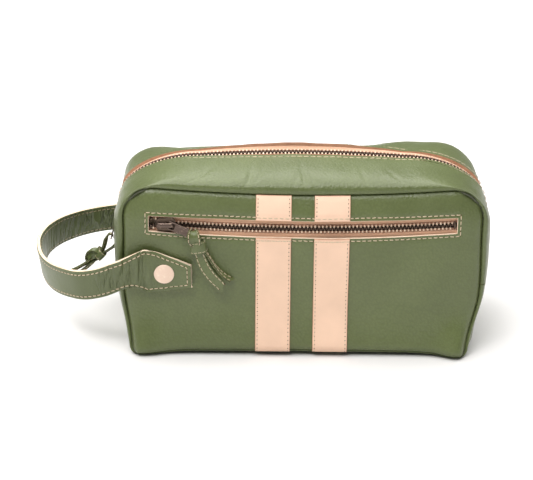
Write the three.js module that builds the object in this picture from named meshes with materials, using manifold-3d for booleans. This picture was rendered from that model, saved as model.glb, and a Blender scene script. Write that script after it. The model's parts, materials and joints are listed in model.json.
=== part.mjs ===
// A leather wash bag: front and back panels stitched into a gusset, a zip that runs over the top and
// down both ends, a zipped letterbox pocket in the front, two contrast stripes, and a loop handle on
// two press studs. Millimetres, +Z up, front at -Y, origin at the middle of the base on the floor.

import * as THREE from "three";
import { mergeVertices } from "three/addons/utils/BufferGeometryUtils.js";
import Module from "manifold-3d";

const wasm = await Module();
wasm.setup();

// ---------------------------------------------------------------- driving dimensions

const LEATHER = 1.6; // every outer leather piece
const CLOTH = 0.5; // lining
const GAP = 0.3; // air between neighbours, which are stitched or glued on the real bag

// The bag's outline is drawn twice as half an outline, from the middle of the top to the middle of
// the base: where the panels are stitched in, and round the middle, where the zip runs.
const SEAM = {
  crownZ: 118.2, shoulderX: 97.4, shoulderZ: 124.3, // the top sags between its corners
  arcX: 26, arcZ: 26, // semi-axes of the top corner
  sideX: 118.8, sideZ: 9, cornerR: 6.8, baseZ: 1.4, baseMiddleZ: 2.6,
};
const MIDDLE = {
  crownZ: 134, shoulderX: 80, shoulderZ: 130.3,
  arcX: 52.3, arcZ: 35.3,
  sideX: 124, sideZ: 10, cornerR: 10, baseZ: 0, baseMiddleZ: 0,
};
const SEAM_Y = 50; // the gusset's edges are at y = -50 and 50
const ROUND = 2.5; // superellipse of the gusset's section, over the top and down the ends
const SQUARE = 6; // the same across the base
const FLAT_Y = 40; // the base lies flat on the floor this far either side of the middle
const PANEL_Y = 56; // flat of the panels' outer face
const PANEL_EDGE_Y = SEAM_Y + GAP + LEATHER; // the panels' outer face where it meets the seam
const PANEL_ROLL = [0, 1.2, 3.5, 6.5, 10]; // rings in from the edge, over which the panels curve back

const ZIP_GAP = 6.2; // half the slot between the leather edges of the top zip
const ZIP_END = 2.5; // where the top zip stops, halfway down the ends, on the outline's own scale
const TAPE = 0.6;
const TAPE_DEPTH = LEATHER + GAP + TAPE / 2; // from the leather's outer face to the tape's middle
const CHAIN = { halfWidth: 2.9, halfThickness: 1.2 }; // a number 5 metal zip

const POCKET = { z: 96.8, halfLength: 105.5, halfHeight: 5.7, tapeHalfLength: 106.5, tapeReach: 9.4 };
const STRIPE = { thickness: 1.2, inner: 7.85, outer: 32.2, pocketGap: 0.4 };

const STUD = { x: -95, z: 62.7 }; // axis of both press studs, and so of the handle
const STRAP = {
  layer: 1.45, innerY: 58.7, halfWidth: 11.2, droopDeg: 8.2,
  tip: 19.3, tipHalf: 8, apex: 10.8, apexHalf: 16.3, neck: 27, // the pointed end, from the stud
  bow: 2.6, bendStart: 42, reach: 94, flare: 2.6, tilt: 0.16,
};

const POCKET_SLIDER_X = -93.5;
const MAIN_SLIDER_Z = 82;

const group = new THREE.Group();

// ---------------------------------------------------------------- materials

const leather = (color) => new THREE.MeshStandardMaterial({ color, roughness: 0.5, metalness: 0 });
const MATERIAL = {
  green: leather(0x5f6e3f),
  natural: leather(0xeccfb2),
  lining: new THREE.MeshStandardMaterial({ color: 0x8d7a62, roughness: 0.95, metalness: 0 }),
  tape: new THREE.MeshStandardMaterial({ color: 0xb99474, roughness: 0.9, metalness: 0 }),
  brass: new THREE.MeshStandardMaterial({ color: 0x4a3a30, roughness: 0.4, metalness: 0.9 }),
  cap: new THREE.MeshStandardMaterial({ color: 0xf0d8c4, roughness: 0.45, metalness: 0.2 }),
  steel: new THREE.MeshStandardMaterial({ color: 0x9a968f, roughness: 0.35, metalness: 0.9 }),
};

function add(name, geometry, material) {
  const mesh = new THREE.Mesh(geometry, material);
  mesh.name = name;
  group.add(mesh);
  return mesh;
}

// ---------------------------------------------------------------- solids from grids of points

// A closed solid between two grids of points of the same size: face, back, and the four rims.
function shell(face, back) {
  const rows = face.length;
  const columns = face[0].length;
  const positions = [...face.flat(), ...back.flat()].flatMap((p) => [p.x, p.y, p.z]);
  const at = (side, i, j) => side * rows * columns + i * columns + j;
  const index = [];
  const quad = (a, b, c, d) => index.push(a, b, c, a, c, d);
  for (let i = 0; i + 1 < rows; i++) {
    for (let j = 0; j + 1 < columns; j++) {
      quad(at(0, i, j), at(0, i + 1, j), at(0, i + 1, j + 1), at(0, i, j + 1));
      quad(at(1, i, j), at(1, i, j + 1), at(1, i + 1, j + 1), at(1, i + 1, j));
    }
    quad(at(0, i, 0), at(1, i, 0), at(1, i + 1, 0), at(0, i + 1, 0));
    const last = columns - 1;
    quad(at(0, i, last), at(0, i + 1, last), at(1, i + 1, last), at(1, i, last));
  }
  for (let j = 0; j + 1 < columns; j++) {
    quad(at(0, 0, j), at(0, 0, j + 1), at(1, 0, j + 1), at(1, 0, j));
    const last = rows - 1;
    quad(at(0, last, j), at(1, last, j), at(1, last, j + 1), at(0, last, j + 1));
  }
  return closed(positions, index);
}

// A geometry whose faces are turned outwards.
function closed(positions, index) {
  const geometry = new THREE.BufferGeometry();
  geometry.setAttribute("position", new THREE.Float32BufferAttribute(positions, 3));
  geometry.setIndex(volumeOf(positions, index) < 0 ? index.reverse() : index);
  return geometry;
}

const ORIGIN = new THREE.Vector3();

function volumeOf(positions, index) {
  const corner = (k) => new THREE.Vector3().fromArray(positions, 3 * index[k]);
  let sum = 0;
  for (let k = 0; k < index.length; k += 3) {
    sum += corner(k).dot(corner(k + 1).cross(corner(k + 2)));
  }
  return sum / 6;
}

// ---------------------------------------------------------------- booleans

function solid(geometry) {
  const bare = geometry.clone();
  bare.deleteAttribute("normal");
  bare.deleteAttribute("uv");
  const merged = mergeVertices(bare, 1e-4);
  return new wasm.Manifold(new wasm.Mesh({
    numProp: 3,
    vertProperties: new Float32Array(merged.attributes.position.array),
    triVerts: new Uint32Array(merged.index.array),
  }));
}

function geometryOf(made) {
  const mesh = made.getMesh();
  const geometry = new THREE.BufferGeometry();
  geometry.setAttribute("position", new THREE.BufferAttribute(new Float32Array(mesh.vertProperties), 3));
  geometry.setIndex(new THREE.BufferAttribute(new Uint32Array(mesh.triVerts), 1));
  return geometry;
}

const cut = (geometry, ...tools) =>
  geometryOf(tools.reduce((rest, tool) => rest.subtract(solid(tool)), solid(geometry)));
const join = (first, ...others) =>
  geometryOf(others.reduce((sum, other) => sum.add(solid(other)), solid(first)));

const box = (low, high) => new THREE.BoxGeometry(...high.map((h, k) => h - low[k]))
  .translate(...high.map((h, k) => (h + low[k]) / 2));

// A cylinder along Y.
const rodY = (radius, x, z, y0, y1, sides = 24) =>
  new THREE.CylinderGeometry(radius, radius, Math.abs(y1 - y0), sides).translate(x, (y0 + y1) / 2, z);

// ---------------------------------------------------------------- the bag's outline and gusset

// A point on half an outline. Its scale runs from 0, the middle of the top, to 5, the middle of the
// base: 0-1 top, 1-2 top corner, 2-3 side, 3-4 bottom corner, 4-5 base.
function halfOutline(o, h) {
  const part = Math.min(4, Math.floor(h));
  const f = h - part;
  const centreZ = o.shoulderZ - o.arcZ;
  const edgeX = o.shoulderX + o.arcX;
  if (part === 0) return [f * o.shoulderX, o.crownZ + (o.shoulderZ - o.crownZ) * f * f];
  if (part === 1) {
    const a = (f * Math.PI) / 2;
    return [o.shoulderX + o.arcX * Math.sin(a), centreZ + o.arcZ * Math.cos(a)];
  }
  if (part === 2) return [edgeX + (o.sideX - edgeX) * f, centreZ + (o.sideZ - centreZ) * f];
  if (part === 3) {
    const a = (f * Math.PI) / 2;
    const drop = o.sideZ - o.baseZ;
    return [o.sideX - o.cornerR * (1 - Math.cos(a)), o.sideZ - drop * Math.sin(a)];
  }
  const x = (o.sideX - o.cornerR) * (1 - f);
  return [x, o.baseZ + (o.baseMiddleZ - o.baseZ) * (1 - (1 - f) ** 2)];
}

// The gusset's outer face at outline place u (negative on the left) and depth y, or a face sunk
// below it. Sinking draws the edges in as well, so that a sheet is as thick there as elsewhere.
function gusset(u, y, sink) {
  const power = ROUND + (SQUARE - ROUND) * Math.min(1, Math.max(0, Math.abs(u) - 3));
  const share = Math.max(0, 1 - Math.abs(y / SEAM_Y) ** power) ** (1 / power);
  const point = (v) => {
    const [seamX, seamZ] = halfOutline(SEAM, Math.abs(v));
    const [midX, midZ] = halfOutline(MIDDLE, Math.abs(v));
    return [Math.sign(v) * (seamX + (midX - seamX) * share), seamZ + (midZ - seamZ) * share];
  };
  const step = 0.01;
  const [x0, z0] = point(Math.max(-5, u - step));
  const [x1, z1] = point(Math.min(5, u + step));
  const inward = new THREE.Vector3(z1 - z0, 0, x0 - x1).setLength(sink);
  const [x, z] = point(u);
  const flat = Math.abs(u) >= 4 && Math.abs(y) <= FLAT_Y;
  return new THREE.Vector3(x, y * (1 - sink / SEAM_Y), flat ? 0 : z).add(sink ? inward : ORIGIN);
}

// A band of the gusset: places along the outline, depths across it, between two sinks.
function band(places, depths, sink, thickness) {
  const sheet = (s) => places.map((u) => depths.map((y) => gusset(u, y, s)));
  return shell(sheet(sink), sheet(sink + thickness));
}

// A list of places on the left half of the outline, carried on over the right half.
const mirrored = (half) => [...half.map((h) => -h), ...half.slice(0, -1).reverse()];

const TOP_PLACES = mirrored([ZIP_END, 2.25, 2, 1.84, 1.68, 1.5, 1.32, 1.16, 1, 0.7, 0.35, 0]);
const STRIP_DEPTHS = [50, 49.8, 49, 47, 43, 35, 22, ZIP_GAP];
const BASE_STEPS = [ZIP_END + 0.006, 2.75, 3, 3.3, 3.6, 4, 4.5];

// The base goes round the bottom: down the left end, across, and up the right end.
function baseBand(depths, sink, thickness) {
  const places = [...BASE_STEPS.map((h) => -h), ...[...BASE_STEPS].reverse()];
  const sheet = (s) => places.map((u) => depths.map((y) => gusset(u, y, s)));
  return shell(sheet(sink), sheet(sink + thickness));
}

const BASE_DEPTHS = [-50, -49.8, -49, -46, -40, -20, 0, 20, 40, 46, 49, 49.8, 50];

const strip = (side, sink, thickness, depths = STRIP_DEPTHS) =>
  band(TOP_PLACES, depths.map((y) => side * y), sink, thickness);

// ---------------------------------------------------------------- front and back panels

// The outline's scale at a given distance from the middle, along the top or along the base.
const topPlace = (x) => x / SEAM.shoulderX;
const basePlace = (x) => 5 - x / (SEAM.sideX - SEAM.cornerR);
const PANEL_PLACES = mirrored([
  basePlace(STRIPE.inner), basePlace(STRIPE.outer), 4.4, 4, 3.75, 3.5, 3.25, 3, 2.5, 2, 1.8, 1.6, 1.4, 1.2, 1,
  0.7, topPlace(STRIPE.outer), topPlace(STRIPE.inner), 0,
]);
const MIDDLE_Z = (SEAM.crownZ + SEAM.baseMiddleZ) / 2;

// A point of a panel's outer face: a place round its edge, and how far in from the edge it lies. Rings
// draw in sideways only near the ends, so that what runs up the middle stays upright.
function panelPoint(u, inset) {
  const edge = gusset(u, SEAM_Y, 0);
  const nearEnd = (Math.abs(edge.x) / SEAM.sideX) ** 4;
  const inward = 1 - inset / PANEL_ROLL.at(-1);
  const y = PANEL_EDGE_Y + (PANEL_Y - PANEL_EDGE_Y) * Math.sqrt(1 - inward * inward);
  return new THREE.Vector3(
    edge.x * (1 - (nearEnd * inset) / SEAM.sideX),
    y,
    MIDDLE_Z + (edge.z - MIDDLE_Z) * (1 - inset / (SEAM.crownZ - MIDDLE_Z)),
  );
}

// A closed solid between two stacks of rings, each closed over by a fan from its last ring's centre.
function lid(face, back) {
  const count = face[0].length;
  const stack = [...face, ...back];
  const centres = [face, back].map((rings) => {
    const sum = rings.at(-1).reduce((total, p) => total.add(p), new THREE.Vector3());
    return sum.divideScalar(count);
  });
  const positions = [...stack.flat(), ...centres].flatMap((p) => [p.x, p.y, p.z]);
  const at = (ring, j) => ring * count + (j % count);
  const index = [];
  const quad = (a, b, c, d) => index.push(a, b, c, a, c, d);
  const levels = face.length;
  for (let j = 0; j < count; j++) {
    for (let i = 0; i + 1 < levels; i++) {
      quad(at(i, j), at(i, j + 1), at(i + 1, j + 1), at(i + 1, j));
      quad(at(levels + i, j + 1), at(levels + i, j), at(levels + i + 1, j), at(levels + i + 1, j + 1));
    }
    index.push(at(levels - 1, j), at(levels - 1, j + 1), 2 * levels * count);
    index.push(at(2 * levels - 1, j + 1), at(2 * levels - 1, j), 2 * levels * count + 1);
    quad(at(0, j + 1), at(0, j), at(levels, j), at(levels, j + 1));
  }
  return closed(positions, index);
}

function panel(side) {
  const places = PANEL_PLACES;
  const rings = (depth) => PANEL_ROLL.map((inset) => places.map((u) =>
    panelPoint(u, inset).add(new THREE.Vector3(0, -depth, 0)).multiply(new THREE.Vector3(1, side, 1))));
  return lid(rings(0), rings(LEATHER));
}

const studHole = (side) => rodY(2, STUD.x, STUD.z, side * 50, side * 60);
const letterbox = box(
  [-POCKET.halfLength, -60, POCKET.z - POCKET.halfHeight],
  [POCKET.halfLength, -50, POCKET.z + POCKET.halfHeight],
);
add("front_panel", cut(panel(-1), letterbox, studHole(-1)), MATERIAL.green);
add("back_panel", cut(panel(1), studHole(1)), MATERIAL.green);

add("top_strip_front", strip(-1, 0, LEATHER), MATERIAL.green);
add("top_strip_back", strip(1, 0, LEATHER), MATERIAL.green);
add("base_gusset", baseBand(BASE_DEPTHS, 0, LEATHER), MATERIAL.green);

// Two contrast stripes down the front, each in two lengths, from the seams to the pocket.
function stripe(side, placeAt, pocketEnd) {
  const rows = (proud) => {
    const rolled = PANEL_ROLL.slice(1).map((inset) => [STRIPE.inner, STRIPE.outer].map((x) => {
      const p = panelPoint(side * placeAt(x), inset);
      return new THREE.Vector3(p.x, -(p.y + proud), p.z);
    }));
    const end = rolled.at(-1).map((p) => p.clone().setZ(pocketEnd));
    return [...rolled, end];
  };
  return shell(rows(GAP + STRIPE.thickness), rows(GAP));
}
const stripeEnd = POCKET.halfHeight + STRIPE.pocketGap;
for (const [label, side] of [["left", -1], ["right", 1]]) {
  add(`stripe_${label}_lower`, stripe(side, basePlace, POCKET.z - stripeEnd), MATERIAL.natural);
  add(`stripe_${label}_upper`, stripe(side, topPlace, POCKET.z + stripeEnd), MATERIAL.natural);
}

// ---------------------------------------------------------------- lining and pocket bag

// The seam's outline drawn in by an inset.
function seamLoop(inset) {
  const places = mirrored([4.999, 4, 3.6, 3.3, 3, 2, 1.8, 1.6, 1.4, 1.2, 1, 0.5, 0]);
  return places.map((u) => {
    const p = gusset(u, SEAM_Y, inset);
    return new THREE.Vector2(p.x, p.z);
  });
}

function leafSolid(loop, y0, y1) {
  const depth = Math.abs(y1 - y0);
  return new THREE.ExtrudeGeometry(new THREE.Shape(loop), { depth, bevelEnabled: false })
    .rotateX(Math.PI / 2)
    .translate(0, Math.max(y0, y1), 0);
}

const LINING_SINK = TAPE_DEPTH + TAPE / 2 + 0.8;
const LINING_INSET = LINING_SINK + CLOTH + 0.8;
const LINING_Y = 49.2;

for (const [label, side] of [["front", -1], ["back", 1]]) {
  const leaf = leafSolid(seamLoop(LINING_INSET), side * (LINING_Y - CLOTH), side * LINING_Y);
  add(`lining_${label}`, leaf, MATERIAL.lining);
  const depths = [47.5, 43, 35, 22, 5];
  add(`lining_top_${label}`, strip(side, LINING_SINK, CLOTH, depths), MATERIAL.lining);
}
add("lining_base", baseBand([-47.5, -40, -20, 0, 20, 40, 47.5], LINING_SINK, CLOTH), MATERIAL.lining);

// The pocket's cloth bag: one length of cloth folded at the bottom, between panel and lining.
function pocketBag() {
  const frontY = -52.7;
  const backY = -50.3;
  const line = [[frontY, 90.5], [frontY, 24], [(frontY + backY) / 2, 22], [backY, 24], [backY, 107]];
  const half = CLOTH / 2;
  const outward = [[-half, 0], [-half, -half], [0, -half], [half, -half], [half, 0]];
  const sheet = (sign) => line.map(([y, z], i) => [-106, 106].map((x) =>
    new THREE.Vector3(x, y + sign * outward[i][0], z + sign * outward[i][1])));
  return shell(sheet(1), sheet(-1));
}
add("pocket_bag", pocketBag(), MATERIAL.lining);

// ---------------------------------------------------------------- zips

// The top zip: a tape each side, a row of teeth each side, one bottom stop and two top stops.
const CHAIN_TOP = TAPE_DEPTH - CHAIN.halfThickness;
const chainPlaces = TOP_PLACES.map((u) => u * 0.985);
for (const [label, side] of [["front", -1], ["back", 1]]) {
  const tape = [CHAIN.halfWidth + GAP, 15].map((y) => side * y);
  add(`main_zip_tape_${label}`, band(TOP_PLACES, tape, TAPE_DEPTH - TAPE / 2, TAPE), MATERIAL.tape);
  const row = [GAP / 2, CHAIN.halfWidth].map((y) => side * y);
  const teeth = band(chainPlaces, row, CHAIN_TOP, 2 * CHAIN.halfThickness);
  add(`main_zip_teeth_${label}`, teeth, MATERIAL.brass);
  const stopPlaces = [-ZIP_END, -ZIP_END * 0.988];
  const stop = band(stopPlaces, row, CHAIN_TOP, 2 * CHAIN.halfThickness);
  add(`main_zip_top_stop_${label}`, stop, MATERIAL.brass);
}
add("main_zip_bottom_stop",
  band([ZIP_END * 0.988, ZIP_END], [-CHAIN.halfWidth, CHAIN.halfWidth], CHAIN_TOP, 2 * CHAIN.halfThickness),
  MATERIAL.brass);

// The pocket zip, flat behind the letterbox.
const POCKET_PLANE = -(PANEL_Y - TAPE_DEPTH);
for (const [label, up] of [["lower", -1], ["upper", 1]]) {
  const between = (a, b) => [POCKET.z + up * a, POCKET.z + up * b].sort((p, q) => p - q);
  const [t0, t1] = between(CHAIN.halfWidth + GAP, POCKET.tapeReach);
  const tape = box([-POCKET.tapeHalfLength, POCKET_PLANE - TAPE / 2, t0],
    [POCKET.tapeHalfLength, POCKET_PLANE + TAPE / 2, t1]);
  add(`pocket_zip_tape_${label}`, tape, MATERIAL.tape);
  const [c0, c1] = between(GAP / 2, CHAIN.halfWidth);
  const row = (x0, x1) => box([x0, POCKET_PLANE - CHAIN.halfThickness, c0],
    [x1, POCKET_PLANE + CHAIN.halfThickness, c1]);
  add(`pocket_zip_teeth_${label}`, row(-102.5, 102.5), MATERIAL.brass);
  add(`pocket_zip_top_stop_${label}`, row(-105, -102.9), MATERIAL.brass);
}
add("pocket_zip_bottom_stop",
  box([102.9, POCKET_PLANE - CHAIN.halfThickness, POCKET.z - CHAIN.halfWidth],
    [105, POCKET_PLANE + CHAIN.halfThickness, POCKET.z + CHAIN.halfWidth]),
  MATERIAL.brass);

// ---------------------------------------------------------------- sliders and pull tabs

// A slider is drawn round the chain's middle: +X the way it opens, +Z out of the bag.
const SLIDER = { halfLength: 6.8, halfWidth: 4.5, plate: 1.1, lip: 0.75, flange: 1 };
const BRIDGE = { halfWidth: 0.8, halfOpening: 2, leg: 1.1, height: 1.5, bar: 0.9 };
const PLATE_LOW = CHAIN.halfThickness + GAP;
const PLATE_TOP = PLATE_LOW + SLIDER.plate;
const PIVOT = { x: 2, z: PLATE_TOP + 0.75 }; // the pull tab's cross bar, under the bridge
const TAB = { half: 0.5, bar: 0.5, eyeHalf: 2, eye: 4.2, halfWidth: 3, length: 21, hole: 18, holeR: 1.9 };

function plate(sign) {
  const { halfLength: l, halfWidth: w, lip, flange } = SLIDER;
  const outline = new THREE.Shape([
    [-l, -w + 1], [-l + 2, -w], [l - 2, -w], [l, -w + 1.4],
    [l, w - 1.4], [l - 2, w], [-l + 2, w], [-l, w - 1],
  ].map(([x, y]) => new THREE.Vector2(x, y)));
  const flat = new THREE.ExtrudeGeometry(outline, { depth: PLATE_TOP - lip, bevelEnabled: false })
    .translate(0, 0, lip);
  const channel = box([-l - 1, -w + flange, 0], [l + 1, w - flange, PLATE_LOW]);
  const made = cut(flat, channel);
  return sign > 0 ? made : made.rotateX(Math.PI);
}

function bridge() {
  const { halfWidth: w, halfOpening: o, leg, height, bar } = BRIDGE;
  const x0 = PIVOT.x - o - leg;
  const x1 = PIVOT.x + o + leg;
  const block = box([x0, -w, PLATE_TOP - 0.2], [x1, w, PLATE_TOP + height + bar]);
  return cut(block, box([x0 + leg, -w - 1, PLATE_TOP], [x1 - leg, w + 1, PLATE_TOP + height]));
}

// The tab lies along +X from its cross bar, in the plane through the cross bar.
function pullTab() {
  const w = TAB.halfWidth;
  const outline = new THREE.Shape();
  outline.moveTo(-TAB.bar, -w);
  outline.lineTo(TAB.length - w, -w + 0.4);
  outline.absarc(TAB.length - w, 0, w - 0.4, -Math.PI / 2, Math.PI / 2, false);
  outline.lineTo(-TAB.bar, w);
  outline.closePath();
  const eye = new THREE.Path([
    [TAB.bar, -TAB.eyeHalf], [TAB.bar, TAB.eyeHalf], [TAB.eye, TAB.eyeHalf], [TAB.eye, -TAB.eyeHalf],
  ].map(([x, y]) => new THREE.Vector2(x, y)));
  const hole = new THREE.Path().absarc(TAB.hole, 0, TAB.holeR, 0, 2 * Math.PI, true);
  outline.holes.push(eye, hole);
  return new THREE.ExtrudeGeometry(outline, { depth: 2 * TAB.half, bevelEnabled: false, curveSegments: 8 })
    .translate(0, 0, -TAB.half);
}

// Local frames: the pocket's slider faces the front, the top zip's faces left on the left end.
const POCKET_FRAME = new THREE.Matrix4().makeBasis(
  new THREE.Vector3(1, 0, 0), new THREE.Vector3(0, 0, 1), new THREE.Vector3(0, -1, 0),
).setPosition(POCKET_SLIDER_X, POCKET_PLANE, POCKET.z);

const endTop = new THREE.Vector2(MIDDLE.shoulderX + MIDDLE.arcX, MIDDLE.shoulderZ - MIDDLE.arcZ);
const endLean = Math.atan2(endTop.x - MIDDLE.sideX, endTop.y - MIDDLE.sideZ);
const endUp = new THREE.Vector3(-Math.sin(endLean), 0, Math.cos(endLean));
const endOut = new THREE.Vector3(-Math.cos(endLean), 0, -Math.sin(endLean));
const endX = -(endTop.x - (endTop.y - MAIN_SLIDER_Z) * Math.tan(endLean));
const mainOrigin = new THREE.Vector3(endX, 0, MAIN_SLIDER_Z).addScaledVector(endOut, -TAPE_DEPTH);
const MAIN_FRAME = new THREE.Matrix4()
  .makeBasis(endUp, new THREE.Vector3(0, 1, 0), endOut).setPosition(mainOrigin);

// A pull tab's place: turned in the slider's plane by swing, then lifted off it by lift.
function tabFrame(sliderFrame, swingDeg, liftDeg) {
  return sliderFrame.clone()
    .multiply(new THREE.Matrix4().makeTranslation(PIVOT.x, 0, PIVOT.z))
    .multiply(new THREE.Matrix4().makeRotationZ(THREE.MathUtils.degToRad(swingDeg)))
    .multiply(new THREE.Matrix4().makeRotationY(THREE.MathUtils.degToRad(-liftDeg)));
}
const POCKET_TAB_FRAME = tabFrame(POCKET_FRAME, -20, 9);
const MAIN_TAB_FRAME = tabFrame(MAIN_FRAME, 0, 160);

for (const [label, frame, tab] of [
  ["pocket", POCKET_FRAME, POCKET_TAB_FRAME],
  ["main", MAIN_FRAME, MAIN_TAB_FRAME],
]) {
  add(`${label}_slider`, join(plate(1), bridge()).applyMatrix4(frame), MATERIAL.brass);
  add(`${label}_slider_back`, plate(-1).applyMatrix4(frame), MATERIAL.brass);
  add(`${label}_pull_tab`, pullTab().applyMatrix4(tab), MATERIAL.brass);
}

// ---------------------------------------------------------------- leather thongs on the pull tabs

// A flat strip along a smooth line through the given points: its width lies across widthAxis.
function thongStrip(points, widths, thickness, widthAxis, steps) {
  const curve = new THREE.CatmullRomCurve3(points.map((p) => new THREE.Vector3(...p)), false, "centripetal");
  const face = [];
  const back = [];
  for (let i = 0; i <= steps; i++) {
    const t = i / steps;
    const centre = curve.getPoint(t);
    const along = curve.getTangent(t);
    const across = widthAxis.clone().addScaledVector(along, -widthAxis.dot(along)).normalize();
    const normal = along.clone().cross(across);
    const place = t * (widths.length - 1);
    const k = Math.min(widths.length - 2, Math.floor(place));
    const half = THREE.MathUtils.lerp(widths[k], widths[k + 1], place - k) / 2;
    const edge = (side, lift) => centre.clone()
      .addScaledVector(across, side * half).addScaledVector(normal, lift * thickness / 2);
    face.push([edge(-1, 1), edge(1, 1)]);
    back.push([edge(-1, -1), edge(1, -1)]);
  }
  return shell(face, back);
}

function roundedOblong(halfWide, halfHigh, radius) {
  const corners = [[1, 1, 0], [-1, 1, 90], [-1, -1, 180], [1, -1, 270]];
  return corners.flatMap(([sx, sy, start]) => [0, 30, 60, 90].map((turn) => {
    const a = THREE.MathUtils.degToRad(start + turn);
    return new THREE.Vector2(
      sx * (halfWide - radius) + radius * Math.cos(a),
      sy * (halfHigh - radius) + radius * Math.sin(a),
    );
  }));
}

// A band wound once round the doubled strip: a flattened tube along a short line.
function thongWrap(low, high, halfWide, halfThick, wall, widthAxis) {
  const a = new THREE.Vector3(...low);
  const axis = new THREE.Vector3(...high).sub(a);
  const length = axis.length();
  axis.normalize();
  const across = widthAxis.clone().addScaledVector(axis, -widthAxis.dot(axis)).normalize();
  const normal = axis.clone().cross(across);
  const ring = new THREE.Shape(roundedOblong(halfWide + wall, halfThick + wall, 2));
  ring.holes.push(new THREE.Path(roundedOblong(halfWide, halfThick, 1).reverse()));
  return new THREE.ExtrudeGeometry(ring, { depth: length, bevelEnabled: false })
    .applyMatrix4(new THREE.Matrix4().makeBasis(across, normal, axis).setPosition(a));
}

const holeOf = (frame) => new THREE.Vector3(TAB.hole, 0, 0).applyMatrix4(frame);
const THONG = 1.1;
const offset = (from, list) => list.map(([x, y, z]) => [from.x + x, from.y + y, from.z + z]);

// The pocket's thong hangs down the front and curls to the right.
const pocketHole = holeOf(POCKET_TAB_FRAME);
const pocketLine = offset(pocketHole, [
  [18, -4, -38.5], [10.5, -3.4, -28], [5.8, -3.1, -18], [3.4, -3.1, -11], [1.2, -2.6, -4], [0, -1.7, -0.4],
  [0, 0, 0.5],
  [0, 1.7, -0.4], [1.2, 0.6, -4], [3.4, -1.2, -11], [6, -1.2, -18], [13, -0.5, -26.5], [26, -0.2, -32],
]);
const X_AXIS = new THREE.Vector3(1, 0, 0);
const THONG_WIDTHS = [6.4, 6.4, 6.4, 6, 5, 3, 2.4, 3, 5, 6, 6.4, 6.4, 6.4];
add("pocket_thong", thongStrip(pocketLine, THONG_WIDTHS, THONG, X_AXIS, 48), MATERIAL.green);
const [pocketWrapLow, pocketWrapHigh] = offset(pocketHole, [[5.4, -2.2, -16.5], [2.9, -2.2, -9.3]]);
add("pocket_thong_wrap", thongWrap(pocketWrapLow, pocketWrapHigh, 4.2, 2.2, 1, X_AXIS), MATERIAL.green);

// The top zip's thong stands out from the end of the bag, inside the handle's loop.
const mainHole = holeOf(MAIN_TAB_FRAME);
const mainLine = offset(mainHole, [
  [-30, -14, -23], [-20, -6, -20.4], [-11.6, -0.4, -15.9], [-7.1, 0, -11.6], [-5, 0, -6.6], [-3.2, 0, -2],
  [-1.65, 0, 0.42], [0, 0, 0], [1.65, 0, -0.42],
  [2.3, 0, -4], [0.6, 0, -8.2], [-2.6, 0, -11], [-5.8, 0, -13.3], [-10.2, 0.4, -17.6], [-17, -2.5, -22.8],
  [-26, -9, -27],
]);
const Y_AXIS = new THREE.Vector3(0, 1, 0);
const MAIN_WIDTHS = [5, 5, 5, 5, 4.6, 4, 3, 2.4, 3, 4, 4.6, 5, 5, 5, 5, 5];
add("main_thong", thongStrip(mainLine, MAIN_WIDTHS, THONG, Y_AXIS, 52), MATERIAL.green);
const [mainWrapHigh, mainWrapLow] = offset(mainHole, [[-6.7, -0.1, -12.6], [-10.8, -0.5, -16.5]]);
add("main_thong_wrap", thongWrap(mainWrapLow, mainWrapHigh, 3.6, 2.1, 1, Y_AXIS), MATERIAL.green);

// ---------------------------------------------------------------- handle

// Half the handle seen from above, in its own frame: r runs left from the studs, y out of the bag.
function strapPlan(count) {
  const points = [];
  const { innerY, layer, tip, bow, bendStart, reach, flare } = STRAP;
  const middle = innerY + layer + GAP / 2;
  const ease = (t) => t * t * (3 - 2 * t);
  const flat = 8; // the strap lies flat this far either side of the stud
  const straight = [-tip, -16, -12, -flat, 0, flat, STRAP.apex, 15, 19, 23, STRAP.neck, 32, 37];
  for (const r of straight) {
    const bent = bow * ease(THREE.MathUtils.clamp((r - flat) / (bendStart - flat), 0, 1));
    points.push([r, middle + bent + flare * Math.max(0, (-r - flat) / (tip - flat)) ** 1.5]);
  }
  for (let i = 0; i <= count; i++) {
    const a = (i / count) * (Math.PI / 2);
    points.push([bendStart + (reach - bendStart) * Math.sin(a), (middle + bow) * Math.cos(a)]);
  }
  return points;
}

// Half the strap's width at r: a pointed end that narrows to the strap by the neck.
function strapHalf(r) {
  const { tip, tipHalf, apex, apexHalf, neck, halfWidth } = STRAP;
  if (r < apex) return tipHalf + ((apexHalf - tipHalf) * (r + tip)) / (apex + tip);
  if (r < neck) return halfWidth + (apexHalf - halfWidth) * (1 - (r - apex) / (neck - apex)) ** 1.5;
  return halfWidth;
}

function strapLayer(from, to) {
  const half = strapPlan(12);
  const path = [...half.map(([r, y]) => [r, -y]), ...half.slice(0, -1).reverse()];
  const middleOf = STRAP.innerY + STRAP.layer + GAP / 2;
  const sheet = (distance) => path.map(([r, y], i) => {
    const before = path[Math.max(0, i - 1)];
    const after = path[Math.min(path.length - 1, i + 1)];
    const along = new THREE.Vector2(after[0] - before[0], after[1] - before[1]).normalize();
    const out = new THREE.Vector2(along.y, -along.x); // away from the loop's inside
    const turn = THREE.MathUtils.clamp((r - STRAP.bendStart) / (STRAP.reach - STRAP.bendStart), 0, 1);
    const lean = STRAP.tilt * Math.sin(Math.PI * turn);
    const w = strapHalf(r);
    return [-w, w].map((up) => {
      const push = distance - middleOf - lean * up;
      return new THREE.Vector3(STUD.x - (r + out.x * push), y + out.y * push, STUD.z + up);
    });
  });
  const droop = new THREE.Matrix4().makeTranslation(STUD.x, 0, STUD.z)
    .multiply(new THREE.Matrix4().makeRotationY(THREE.MathUtils.degToRad(-STRAP.droopDeg)))
    .multiply(new THREE.Matrix4().makeTranslation(-STUD.x, 0, -STUD.z));
  const made = shell(sheet(from), sheet(to)).applyMatrix4(droop);
  return cut(made, rodY(2.1, STUD.x, STUD.z, -70, 70));
}

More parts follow.
